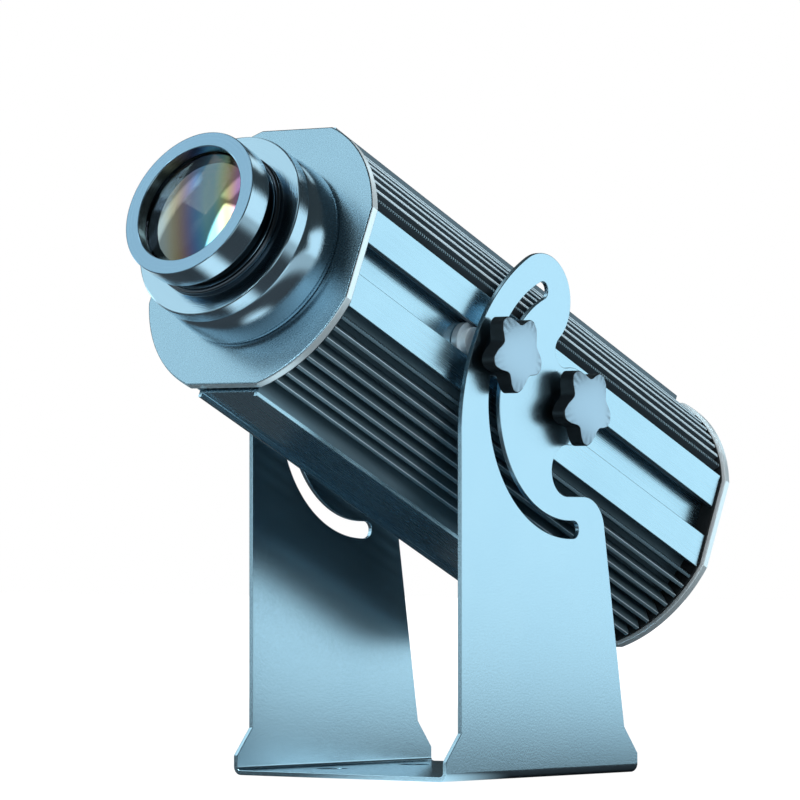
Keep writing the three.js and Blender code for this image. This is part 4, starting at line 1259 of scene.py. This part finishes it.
@dataclass
class LensTurret(SubAssembly):
    """The lens mount, the focus ring with its keeper, the barrel, the front ring and the lenses."""

    tail_radius: float = 43.7
    tail_length: float = 8.0
    foot_radius: float = 49.4
    foot_height: float = 1.6
    shoulder_radius: float = 50.4
    shoulder_rise: float = 7.0
    shoulder_length: float = 16.9
    shoulder_top: float = 46.5
    neck_radius: float = 36.7
    ring_radius: float = 49.4
    ring_width: float = 8.6
    ring_gap: float = 0.8
    bead_radius: float = 38.7
    bead_thickness: float = 2.7
    barrel_radius: float = 34.6
    barrel_bore: float = 32.4
    barrel_inner: float = 30.0
    barrel_tail: float = 4.0
    barrel_reach: float = 18.0
    front_overlap: float = 7.0
    front_reach: float = 6.7
    front_radius: float = 39.2
    front_bore: float = 31.5
    edge_round: float = 0.35
    ring_round: float = 0.7
    barrel_round: float = 0.25
    front_round: float = 0.45
    shoulder_steps: int = 14
    bead_steps: int = 10
    lens_edge: float = 3.0
    lens_bulge: float = 5.0
    lens_inset: float = 0.7
    lens_steps: int = 18
    rear_lens_edge: float = 7.4
    rear_lens_bulge: float = 3.0
    rear_lens_inset: float = 9.6
    spacer_bore: float = 30.6
    baffle_pitch: float = 2.4
    baffle_depth: float = 0.5

    @property
    def shoulder_front(self) -> float:
        """Where the mount's shoulder ends."""
        return AT.mount_base + self.shoulder_rise + self.shoulder_length

    @property
    def ring_back(self) -> float:
        """The focus ring's rear face."""
        return self.shoulder_front + self.ring_gap

    @property
    def ring_front(self) -> float:
        """The focus ring's front face."""
        return self.ring_back + self.ring_width

    @property
    def barrel_front(self) -> float:
        """The barrel's front end."""
        return self.ring_front + self.barrel_reach

    @property
    def barrel_back(self) -> float:
        """The barrel's rear end."""
        return AT.mount_base - self.barrel_tail

    def mount(self) -> Mesh:
        """Turns the lens mount with its rounded shoulder."""
        base, bore = AT.mount_base, self.barrel_radius + RUN_GAP
        tail = base - self.tail_length
        neck_end = self.ring_front + 2 * SEAT_GAP + self.bead_thickness
        drop = self.shoulder_radius - self.shoulder_top
        shoulder = [(self.shoulder_top + drop * math.cos(turn),
                     base + self.shoulder_rise + self.shoulder_length * math.sin(turn))
                    for turn in quarter(self.shoulder_steps)]
        return turned([
            (bore, tail), (self.tail_radius, tail), (self.tail_radius, base), (self.foot_radius, base),
            (self.foot_radius, base + self.foot_height), (self.shoulder_radius, base + 2 * self.foot_height),
            *shoulder, (self.neck_radius, self.shoulder_front), (self.neck_radius, neck_end),
            (bore, neck_end),
        ], round_by=self.edge_round)

    def focus_ring(self) -> Mesh:
        """Turns the wide focus ring."""
        return tube(self.neck_radius + RUN_GAP, self.ring_radius, self.ring_back, self.ring_front, 112,
                    self.ring_round)

    def keeper(self) -> Mesh:
        """Turns the bead that keeps the focus ring on the neck."""
        half = self.bead_thickness / 2
        middle, inner = self.ring_front + SEAT_GAP + half, self.neck_radius + SEAT_GAP
        turns = (math.pi * (step / self.bead_steps - 0.5) for step in range(self.bead_steps + 1))
        return turned([(inner + (self.bead_radius - inner) * math.cos(turn), middle + half * math.sin(turn))
                       for turn in turns])

    def barrel(self) -> Mesh:
        """Turns the barrel, whose bore has a step behind the rear lens."""
        step_at = self.barrel_back + self.rear_lens_inset - 2 * SEAT_GAP
        return turned([
            (self.barrel_inner, self.barrel_back), (self.barrel_radius, self.barrel_back),
            (self.barrel_radius, self.barrel_front), (self.barrel_bore, self.barrel_front),
            (self.barrel_bore, step_at), (self.barrel_inner, step_at),
        ], round_by=self.barrel_round)

    def front_ring(self) -> Mesh:
        """Turns the front ring, whose lip holds the front lens, and whose forward face is painted darker than
        its side, a painted shade.
        """
        back, front = self.barrel_front - self.front_overlap, self.barrel_front + self.front_reach
        seat, inner = self.barrel_front + SEAT_GAP, self.barrel_radius + SEAT_GAP
        bm = turned([
            (inner, back), (self.front_radius, back), (self.front_radius, front),
            (self.front_bore, front), (self.front_bore, seat), (inner, seat),
        ], steps=128, round_by=self.front_round)
        bm.normal_update()
        for face in bm.faces:
            # The forward face takes the painted shade.
            face.material_index = int(-face.normal.y > FACING)
        return bm

    def lens(self, back: float, edge: float, front_bulge: float, back_bulge: float) -> Mesh:
        """Grinds a lens with a flat rim.

        Args:
            back: The rim's rear face, ahead of the pivot.
            edge: The rim's width.
            front_bulge: How far the front face stands out in the middle.
            back_bulge: The same for the rear face.

        Returns:
            The mesh.
        """
        radius = self.barrel_bore - SEAT_GAP

        def face(rim: float, bulge: float) -> list[Point]:
            """Gives one face's points from the axis to the rim."""
            shares = (step / self.lens_steps for step in range(self.lens_steps + 1))
            return [(radius * share, rim + bulge * (1 - share ** 2)) for share in shares]

        return turned([*face(back, -back_bulge), *face(back + edge, front_bulge)[::-1]], steps=96)

    def spacer(self, back: float, front: float) -> Mesh:
        """Turns the black spacer between the lenses, with baffle grooves in its bore.

        Args:
            back: Its rear face.
            front: Its front face.

        Returns:
            The mesh.
        """
        outer = self.barrel_bore - SEAT_GAP
        count = int((front - back) / self.baffle_pitch)
        pitch = (front - back) / count
        bore = []
        for ridge in range(count):
            start = front - ridge * pitch
            bore += [(self.spacer_bore, start), (self.spacer_bore + self.baffle_depth, start - pitch / 2)]
        return turned([(outer, back), (outer, front), *bore, (self.spacer_bore, back)], steps=72)

    def build(self) -> None:
        """Builds the turret from the plate outwards."""
        front_back = self.barrel_front - self.lens_inset - self.lens_edge
        rear_back = self.barrel_back + self.rear_lens_inset
        front_lens = self.lens(front_back, self.lens_edge, self.lens_bulge, 0.0)
        rear_lens = self.lens(rear_back, self.rear_lens_edge, 0.0, self.rear_lens_bulge)
        spacer = self.spacer(rear_back + self.rear_lens_edge + SEAT_GAP, front_back - SEAT_GAP)
        metal, glass = Slot.LENS_METAL, Slot.GLASS
        for name, node, bm, body, slot, finishes in (
                ("lens_mount_turning", "lens_mount", self.mount(), "head", metal, [LENS_METAL]),
                ("focus_ring_turning", "focus_ring", self.focus_ring(), "focus_ring", metal, [LENS_METAL]),
                ("focus_ring_bead", "focus_ring_keeper", self.keeper(), "head", metal, [DARK_ANODISE]),
                ("barrel_turning", "lens_barrel", self.barrel(), "lens_barrel", metal, [BLACK_ANODISE]),
                ("front_rim", "front_ring", self.front_ring(), "lens_barrel", metal,
                 [LENS_METAL, FRONT_FACE_PAINTED_SHADE]),
                ("front_coated_lens", "front_lens", front_lens, "lens_barrel", glass, [FRONT_GLASS]),
                ("rear_coated_lens", "rear_lens", rear_lens, "lens_barrel", glass, [REAR_GLASS]),
                ("baffled_spacer", "lens_spacer", spacer, "lens_barrel", metal, [BLACK_ANODISE])):
            put(name, bm, body, finishes, [node])


@dataclass
class Bolts(SubAssembly):
    """The pivot and locking bolts: sliders in the side channels, spacers, studs and star knobs."""

    housing: Housing
    yoke: Yoke
    stud: float = 3.9
    slider_half: float = 23.0
    spacer: float = 12.0
    spacer_thickness: float = 4.85
    hub: float = 9.3
    hub_height: float = 3.2
    knob_tip: float = 20.5
    knob_valley: float = 14.2
    knob_thickness: float = 10.0
    knob_lobes: int = 5
    knob_phase: float = math.radians(50) + TILT  # so that a lobe points nearly straight down at rest
    knob_dome: float = 2.3
    star_steps: int = 210
    edge_rise: float = 0.6
    edge_share: float = 0.035
    edge_steps: int = 4
    face_steps: int = 12
    dark_rings: int = 3  # the rings of faces, from the back of the star, that belong to the dark body
    face_merge: float = 0.05  # the smallest ring's points are closer than this and become one
    stud_in_knob: float = 7.0
    flutes: int = 30
    flute_depth: float = 0.13
    flute_start: float = 14.0
    slider_round: float = 0.3

    @property
    def arm_face(self) -> float:
        """The outer face of the yoke's arm."""
        return self.housing.side_flat + self.spacer_thickness + 2 * SEAT_GAP + self.yoke.sheet

    @property
    def channel_floor(self) -> float:
        """Where the sliders and the studs start, just off the channel's floor."""
        return self.housing.side_flat - self.housing.depth + SEAT_GAP

    def star(self) -> list[Point]:
        """Gives the knob's five-lobed outline, by place across the arm."""
        mean, swing = (self.knob_tip + self.knob_valley) / 2, (self.knob_tip - self.knob_valley) / 2
        outline = []
        for step in range(self.star_steps):
            turn = FULL_TURN * step / self.star_steps
            radius = mean + swing * math.cos(self.knob_lobes * turn)
            turn += self.knob_phase
            outline.append((radius * math.cos(turn), radius * math.sin(turn)))
        return outline

    def knob(self) -> Mesh:
        """Builds a star knob, a dark body with a domed, fluted face, along X from the middle of the yoke."""
        inner = self.arm_face + SEAT_GAP
        back, top = inner + self.hub_height, inner + self.hub_height + self.knob_thickness
        bm, outline = bmesh.new(), self.star()
        last = [bm.verts.new((back, y, z)) for y, z in outline]
        edges = joined(bm, last)
        # Up the side, round the edge and in over the face, each ring a smaller copy of the outline
        for number, (share, drop) in enumerate(self.crown()):
            smaller = [(share * y, share * z) for y, z in outline]
            ring = [bm.verts.new((top - drop - self.hollow(y, z, share), y, z)) for y, z in smaller]
            for face in wall(bm, last, ring):
                face.material_index = int(number > self.dark_rings)
            last = ring
        bmesh.ops.remove_doubles(bm, verts=last, dist=self.face_merge)
        self.close_back(bm, edges, inner, back)
        bmesh.ops.recalc_face_normals(bm, faces=bm.faces)
        return bm

    def crown(self) -> list[Point]:
        """Gives the rings of the knob's side, its rounded edge and its domed face.

        Returns:
            Pairs of size, as a share of the outline, and depth below the dome.
        """
        edge = [(1 - self.edge_share * (1 - math.cos(turn)), self.edge_rise * (1 - math.sin(turn)))
                for turn in quarter(self.edge_steps)]
        inner = [(1 - self.edge_share) * (1 - step / self.face_steps) for step in range(1, self.face_steps)]
        return edge + [(share, 0.0) for share in [*inner, MERGE]]

    def hollow(self, y: float, z: float, share: float) -> float:
        """Gives how far the face lies below its middle, with its dome and the creases at the lobes' tips.

        Args:
            y: The place along the arm.
            z: The place up the arm.
            share: The ring's size as a share of the outline.

        Returns:
            The depth.
        """
        radius = math.hypot(y, z)
        tip = max((radius - self.flute_start) / (self.knob_tip - self.flute_start), 0.0) if share < 1 else 0.0
        crease = self.flute_depth * tip * (1 - math.cos(self.flutes * (math.atan2(z, y) - self.knob_phase)))
        return self.knob_dome * (radius / self.knob_tip) ** 2 + crease

    def close_back(self, bm: Mesh, edges: Sequence[Edge], inner: float, back: float) -> None:
        """Closes the knob's underside with its hub and the bore for the stud.

        Args:
            bm: The knob's mesh.
            edges: The outline's edges at the back of the star.
            inner: The hub's end at the arm.
            back: The back of the star.
        """
        bore = self.stud + SEAT_GAP
        loop = joined(bm, [bm.verts.new((back, y, z)) for y, z in circle(self.hub)])
        bmesh.ops.triangle_fill(bm, use_beauty=True, use_dissolve=False, edges=[*edges, *loop])
        for place, radius in ((inner, self.hub), (inner, bore), (back + self.stud_in_knob, bore)):
            grown = bmesh.ops.extrude_edge_only(bm, edges=loop)["geom"]
            loop = [item for item in grown if isinstance(item, Edge)]
            for vert in (item for item in grown if isinstance(item, Vert)):
                size = radius / math.hypot(vert.co.y, vert.co.z)
                vert.co = Vector((place, vert.co.y * size, vert.co.z * size))
        bmesh.ops.contextual_create(bm, geom=loop)

    def slider(self) -> Mesh:
        """Builds the stepped slider that runs in the T-channel."""
        size, floor = self.housing, self.channel_floor
        neck = size.side_flat - size.lip - SEAT_GAP
        bm = plate(self.capsule(size.under / 2 - SEAT_GAP), [], neck - floor)

        def top() -> list[Face]:
            """Gives the faces that look up."""
            return [face for face in bm.faces if face.normal.z > FACING]

        bmesh.ops.dissolve_faces(bm, faces=top())
        bmesh.ops.inset_region(bm, faces=top(), thickness=(size.under - size.mouth) / 2, use_even_offset=True)
        upper = [max(top(), key=lambda face: len(face.verts))]
        grown = bmesh.ops.extrude_face_region(bm, geom=upper)["geom"]
        bmesh.ops.translate(bm, verts=[item for item in grown if isinstance(item, Vert)],
                            vec=(0, 0, size.side_flat - neck))
        bmesh.ops.delete(bm, geom=upper, context="FACES")
        soften(bm, self.slider_round)
        bm.transform(Matrix.Translation((floor, 0, 0)) @ PLATE_TO_ACROSS)
        return bm

    def capsule(self, radius: float) -> list[Point]:
        """Gives the slider's outline with round ends.

        Args:
            radius: Half its height.

        Returns:
            The closed outline.
        """
        reach = self.slider_half - radius
        return [*arc((reach, 0), radius, -math.pi / 2, math.pi / 2, 18),
                *arc((-reach, 0), radius, math.pi / 2, 1.5 * math.pi, 18)]

    def across(self, bore: float, radius: float, inner: float, outer: float) -> Mesh:
        """Turns a collar or a stud about the bolt's own axis, which runs across the head.

        Args:
            bore: The radius of its bore, or 0.
            radius: Its own radius.
            inner: Its end at the head.
            outer: Its outer end.

        Returns:
            The mesh.
        """
        bm = tube(bore, radius, inner, outer)
        bm.transform(Matrix.Rotation(math.pi / 2, 4, "Z"))
        return bm

    def build(self) -> None:
        """Builds all four bolts."""
        stud_outer = self.arm_face + self.hub_height + self.stud_in_knob
        spacer_inner = self.housing.side_flat + SEAT_GAP
        spacer_outer = spacer_inner + self.spacer_thickness
        for kind, ahead in (("pivot", 0.0), ("lock", self.yoke.slot_radius)):
            for side in Side:
                end = side.name.lower()
                place = HEAD_PLACE @ Matrix.Translation((0, -ahead, 0))
                if side is Side.LEFT:
                    place = place @ Matrix.Rotation(math.pi, 4, "Z")
                collar = self.across(self.stud + SEAT_GAP, self.spacer, spacer_inner, spacer_outer)
                stud = self.across(0, self.stud, self.channel_floor, stud_outer)
                put(f"{kind}_star_knob_{end}", self.knob(), f"{kind}_knob_{end}",
                    [KNOB_BODY, KNOB_FACE], [f"{kind}_knob_{end}"], place)
                for name, node, bm, finish in (("channel_slider", "slider", self.slider(), SLIDER_METAL),
                                               ("collar", "spacer", collar, ZINC_STEEL),
                                               ("bolt", "stud", stud, ZINC_STEEL)):
                    put(f"{kind}_{name}_{end}", bm, "head", [finish], [f"{kind}_{node}_{end}"],
                        place)


@dataclass
class CableGland(SubAssembly):
    """The nylon cable gland on the rear plate."""

    drop: float
    thread: float = 7.8
    bore: float = 3.6
    hex_radius: float = 12.6
    hex_height: float = 6.0
    cap_radius: float = 11.0
    cap_height: float = 14.0
    dome_share: float = 0.75
    mouth: float = 7.2
    mouth_rise: float = 3.0
    nut_radius: float = 12.0
    nut_height: float = 4.0
    nut_round: float = 0.5
    thread_length: float = 9.0
    grips: int = 18
    grip_depth: float = 0.03

    def hexagon(self, radius: float, bore: float, back: float, front: float) -> Mesh:
        """Builds a rounded hexagonal nut.

        Args:
            radius: From its middle to a corner.
            bore: Its hole's radius.
            back: Its rear face.
            front: Its front face.

        Returns:
            The mesh.
        """
        return ahead_plate(circle(radius, 6), [circle(bore)], back, front, self.nut_round)

    def cap(self, back: float, front: float, floor: float) -> Mesh:
        """Turns the domed cap and presses its grips in.

        Args:
            back: Its rear end.
            front: Its front end, at the hexagon.
            floor: Where its well for the thread ends.

        Returns:
            The mesh.
        """
        well, dome = self.thread + SEAT_GAP, back + (1 - self.dome_share) * self.cap_height
        shoulder = arc((self.mouth, dome + self.mouth_rise), self.cap_radius - self.mouth, -math.pi / 2, 0, 8)
        bm = turned([(self.bore, back), (self.mouth, back), *shoulder[1:], (self.cap_radius, front),
                     (well, front), (well, floor), (self.bore, floor)], steps=4 * self.grips)
        for vert in bm.verts:
            if math.hypot(vert.co.x, vert.co.z) > self.cap_radius - MERGE:
                turn = math.atan2(vert.co.z, vert.co.x)
                size = 1 - self.grip_depth * (1 - math.cos(self.grips * turn)) / 2
                vert.co.x *= size
                vert.co.z *= size
        return bm

    def build(self) -> None:
        """Builds the body, the ribbed cap and the nut."""
        hex_front = AT.rear_plate_back - SEAT_GAP
        hex_back = hex_front - self.hex_height
        cap_front = hex_back - SEAT_GAP
        cap_back = cap_front - self.cap_height
        thread_front = AT.rear_plate_front + self.thread_length
        thread_back = cap_front - self.cap_height / 2
        nut_back = AT.rear_plate_front + SEAT_GAP
        body = self.hexagon(self.hex_radius, self.bore, hex_back, hex_front)
        cap = self.cap(cap_back, cap_front, thread_back - SEAT_GAP)
        nut = self.hexagon(self.nut_radius, self.thread + SEAT_GAP, nut_back, nut_back + self.nut_height)
        for name, bm, nodes in (
                ("gland_hex_body", body, ["cable_gland_body"]),
                ("gland_thread_inner", tube(self.bore, self.thread, hex_front, thread_front), []),
                ("gland_thread_outer", tube(self.bore, self.thread, thread_back, hex_back), []),
                ("gland_ribbed_cap", cap, ["cable_gland_cap"]),
                ("gland_lock_nut", nut, ["cable_gland_nut"])):
            put(name, bm, "head", [BLACK_NYLON], nodes,
                HEAD_PLACE @ Matrix.Translation((0, 0, -self.drop)))


@dataclass
class Insides(SubAssembly):
    """The pieces inside the head, whose CAD shapes are right and get their finishes."""

    finishes: dict[str, Finish] = field(default_factory=lambda: {
        "heat_spreader": BARE_ALUMINIUM, "led_module": LED_PHOSPHOR, "condenser_holder": BARE_ALUMINIUM,
        "condenser_lens_rear": PLAIN_GLASS, "condenser_lens_front": PLAIN_GLASS,
        "gobo_carrier": BARE_ALUMINIUM, "gobo_ring_gear": GEAR_BRASS, "gobo_glass": PLAIN_GLASS,
        "gobo_keeper_ring": ZINC_STEEL, "gobo_motor": ZINC_STEEL, "motor_shaft": ZINC_STEEL,
        "motor_pinion": GEAR_BRASS, "driver_tray": BARE_ALUMINIUM, "led_driver": DARK_CAST,
        "fan_frame": BLACK_NYLON, "fan_rotor": BLACK_NYLON,
    })

    def build(self) -> None:
        """Dresses each inner node."""
        for node, finish in self.finishes.items():
            dress(node, finish)


@dataclass(frozen=True)
class Lamp:
    """A square lamp with an even face, which shades plastics and isn't mirrored in metals."""

    name: str
    place: tuple[float, float, float]
    size: float
    watts: float


@dataclass(frozen=True)
class Card:
    """A bright card round the studio, placed where a surface that faces a given way mirrors it to the camera.

    Its half sizes and its soft edge are in degrees, as seen from the object.
    """

    facing: Vector
    half_width: float
    half_height: float
    strength: float
    feather: float


@dataclass
class Studio(SubAssembly):
    """The floor, the world, the lamps and the camera."""

    target: Vector = field(default_factory=lambda: Vector((-0.04855, 0.02925, 0.19465)))
    azimuth: float = math.radians(39.25)
    elevation: float = math.radians(-1.33)
    distance: float = 2.9822
    focal_px: float = 5647.85
    frame_px: int = 800
    sensor_mm: float = 36.0
    floor_half: float = 6.0
    floor_drop: float = 0.0002
    floor_tone: str = "#3d4043"
    rear_glow: Point = (0.1, 1.1)  # the distances along Y between which the floor's glow grows
    front_glow: Point = (-0.8, -1.4)
    around_glow: Point = (0.42, 0.8)  # the same by distance from the middle, and fainter
    around_share: float = 0.5
    spot_glow: Point = (0.1, 0.03)  # the same by distance from a spot under the lens
    spot: tuple[float, float, float] = (0.05, -0.12, 0.0)
    room: float = 0.06  # the light of the room between the cards
    sky: str = "#dbf6ff"  # the cool light of the room, the cards and the floor
    brightness: float = 1.25
    horizon: float = 0.01  # how softly a card is kept out of the other half of the world
    lamps: tuple[Lamp, ...] = (
        Lamp("top_lamp", (0.3, -0.5, 1.6), 1.0, 22.0),
        Lamp("left_lamp", (-1.3, -1.1, 1.0), 0.8, 14.0),
        Lamp("right_lamp", (1.7, -0.7, 0.5), 0.8, 14.0),
    )

    @property
    def back(self) -> Vector:
        """The direction from the object to the camera."""
        return Vector((math.sin(self.azimuth) * math.cos(self.elevation),
                       -math.cos(self.azimuth) * math.cos(self.elevation), math.sin(self.elevation)))

    def cards(self) -> tuple[Card, ...]:
        """Lists the cards by what mirrors them."""
        side, up, ahead = Vector((1, 0, 0)), Vector((0, math.sin(TILT), math.cos(TILT))), LENS_AXIS
        return (
            Card(side - 0.05 * up, 28, 16, 1.04, 6.0),  # the arms and the housing's flats
            Card(ahead, 30, 26, 0.87, 10.0),  # the front plate and the rings' faces
            Card(ahead - 0.19 * side - 0.06 * up, 5, 20, 2.2, 7.0),  # the lens's left
            Card(ahead + 0.19 * side - 0.12 * up, 6, 13, 9.0, 3.0),  # the lens's lower right
            Card(ahead + 0.22 * side + 0.15 * up, 4, 10, 2.5, 4.0),  # the lens's upper right
            Card(up + 1.4 * side, 8, 20, 0.95, 5.0),  # the upper right of the turned pieces
            Card(1.7 * ahead + side - up, 14, 12, 0.9, 8.0),  # the lower right of the shoulder
            Card(1.2 * ahead + side - 0.45 * up, 14, 12, 1.0, 8.0),  # the right of the shoulder
        )

    def build(self) -> None:
        """Sets the stage, lights it and aims the camera."""
        bpy.context.scene.view_settings.view_transform = "Standard"
        self.make_floor()
        self.make_world()
        for lamp in self.lamps:
            self.make_lamp(lamp)
        self.make_camera()

    def white_to_camera(self, tree: Tree) -> tuple[Socket, Socket]:
        """Gives a light that is full and white to the camera alone.

        Args:
            tree: A node tree.

        Returns:
            1 for the camera's own rays and 0 for others, and white for them and the sky's tint for others.
        """
        seen = add_node(tree, "ShaderNodeLightPath").outputs["Is Camera Ray"]
        tint = add_node(tree, "ShaderNodeMix", {"data_type": "RGBA"}, {
            "Factor": seen, MIX_LOW: linear(self.sky), MIX_HIGH: linear("#ffffff")}).outputs[MIX_RESULT]
        return seen, tint

    def floor_glows(self, tree: Tree) -> list[Socket]:
        """Gives what metals mirror of the floor: light behind the object, before it, all round and in a spot.

        Args:
            tree: The floor's node tree.

        Returns:
            The sockets of the strengths.
        """
        place = add_node(tree, "ShaderNodeTexCoord").outputs["Object"]
        along = add_node(tree, "ShaderNodeSeparateXYZ", None, {"Vector": place}).outputs["Y"]
        around, away = (add_node(tree, "ShaderNodeVectorMath", {"operation": "DISTANCE"}, {
            0: place, 1: centre}).outputs["Value"] for centre in ((0.0, 0.0, 0.0), self.spot))
        return [add_node(tree, "ShaderNodeMapRange", {"interpolation_type": "SMOOTHSTEP"}, {
            "Value": value, "From Min": dark, "From Max": bright,
            "To Min": 0.0, "To Max": share * self.brightness}).outputs["Result"]
            for value, (dark, bright), share in (
                (along, self.rear_glow, 1.0), (along, self.front_glow, 1.0),
                (around, self.around_glow, self.around_share), (away, self.spot_glow, 1.0))]

    def make_floor(self) -> None:
        """Lays a floor that is white to the camera and dark with a few glows to metals."""
        bm = bmesh.new()
        bmesh.ops.create_grid(bm, x_segments=1, y_segments=1, size=self.floor_half)
        bmesh.ops.translate(bm, verts=bm.verts, vec=(0, 0, -self.floor_drop))
        mesh = bpy.data.meshes.new("studio_floor")
        bm.to_mesh(mesh)
        bm.free()
        material = bpy.data.materials.new("pale_studio_floor")
        material.use_nodes = True
        tree = material.node_tree
        tree.nodes.clear()
        seen, tint = self.white_to_camera(tree)
        strength = strongest(tree, seen, self.floor_glows(tree))
        matt = add_node(tree, "ShaderNodeBsdfDiffuse", None, {"Color": linear(self.floor_tone)})
        glow = add_node(tree, "ShaderNodeEmission", None, {"Color": tint, "Strength": strength})
        both = add_node(tree, "ShaderNodeAddShader", None, {
            0: matt.outputs["BSDF"], 1: glow.outputs["Emission"]})
        add_node(tree, "ShaderNodeOutputMaterial", None, {"Surface": both.outputs["Shader"]})
        mesh.materials.append(material)
        floor = bpy.data.objects.new("studio_floor", mesh)
        bpy.context.scene.collection.objects.link(floor)

    def card_light(self, tree: Tree, way: Socket, card: Card) -> Socket:
        """Gives the light of one card in a direction.

        Args:
            tree: The world's node tree.
            way: The socket of the direction.
            card: The card.

        Returns:
            The socket of the strength.
        """
        forward = (-self.back).reflect(card.facing.normalized())
        right = forward.cross(Vector((0, 0, 1))).normalized()
        light: float | Socket = card.strength * self.brightness
        for axis, half in ((right, card.half_width), (right.cross(forward), card.half_height), (forward, 0)):
            share = add_node(tree, "ShaderNodeVectorMath", {"operation": "DOT_PRODUCT"}, {
                0: way, 1: axis}).outputs["Value"]
            limits = {"From Min": 0.0, "From Max": self.horizon, "To Min": 0.0, "To Max": 1.0}
            if half:
                share = add_node(tree, "ShaderNodeMath", {"operation": "ABSOLUTE"}, {
                    0: share}).outputs["Value"]
                inner, outer = (math.sin(math.radians(half + side * card.feather / 2)) for side in (-1, 1))
                limits = {"From Min": inner, "From Max": outer, "To Min": 1.0, "To Max": 0.0}
            part = add_node(tree, "ShaderNodeMapRange", {"interpolation_type": "SMOOTHSTEP"}, {
                "Value": share, **limits}).outputs["Result"]
            light = add_node(tree, "ShaderNodeMath", {"operation": "MULTIPLY"}, {
                0: light, 1: part}).outputs["Value"]
        return light

    def make_world(self) -> None:
        """Gives a white backdrop to the camera and a dim room with bright cards to the metals."""
        world = bpy.data.worlds.new("studio_world")
        bpy.context.scene.world = world
        world.use_nodes = True
        tree = world.node_tree
        tree.nodes.clear()
        way = add_node(tree, "ShaderNodeTexCoord").outputs["Generated"]
        seen, tint = self.white_to_camera(tree)
        lights = [self.card_light(tree, way, card) for card in self.cards()]
        strength = strongest(tree, seen, [*lights, self.room])
        background = add_node(tree, "ShaderNodeBackground", None, {"Color": tint, "Strength": strength})
        add_node(tree, "ShaderNodeOutputWorld", None, {"Surface": background.outputs["Background"]})

    def make_lamp(self, lamp: Lamp) -> None:
        """Hangs a lamp and points it at the object.

        Args:
            lamp: What to hang.
        """
        light = bpy.data.lights.new(lamp.name, "AREA")
        light.shape = "SQUARE"
        light.size = lamp.size
        light.energy = lamp.watts
        piece = bpy.data.objects.new(lamp.name, light)
        piece.location = lamp.place
        piece.rotation_euler = (self.target - piece.location).to_track_quat("-Z", "Y").to_euler()
        piece.visible_glossy = False
        bpy.context.scene.collection.objects.link(piece)

    def make_camera(self) -> None:
        """Aims the camera as the photograph was taken."""
        data = bpy.data.cameras.new("camera")
        data.sensor_width = self.sensor_mm
        data.lens = self.focal_px * self.sensor_mm / self.frame_px
        camera = bpy.data.objects.new("camera", data)
        camera.location = self.target + self.back * self.distance
        camera.rotation_euler = (-self.back).to_track_quat("-Z", "Y").to_euler()
        bpy.context.scene.collection.objects.link(camera)
        bpy.context.scene.camera = camera


def main() -> None:
    """Builds every sub-assembly in order."""
    logging.basicConfig(level=logging.INFO, format="%(message)s")
    yoke, housing = Yoke(), Housing()
    plates = EndPlates(housing)
    assemblies: tuple[SubAssembly, ...] = (
        Studio(), yoke, housing, plates, LensTurret(), Bolts(housing, yoke), CableGland(plates.gland_drop),
        Insides())
    for assembly in assemblies:
        assembly.build()
        LOG.info("%s is done", type(assembly).__name__)


if __name__ == "__main__":
    main()
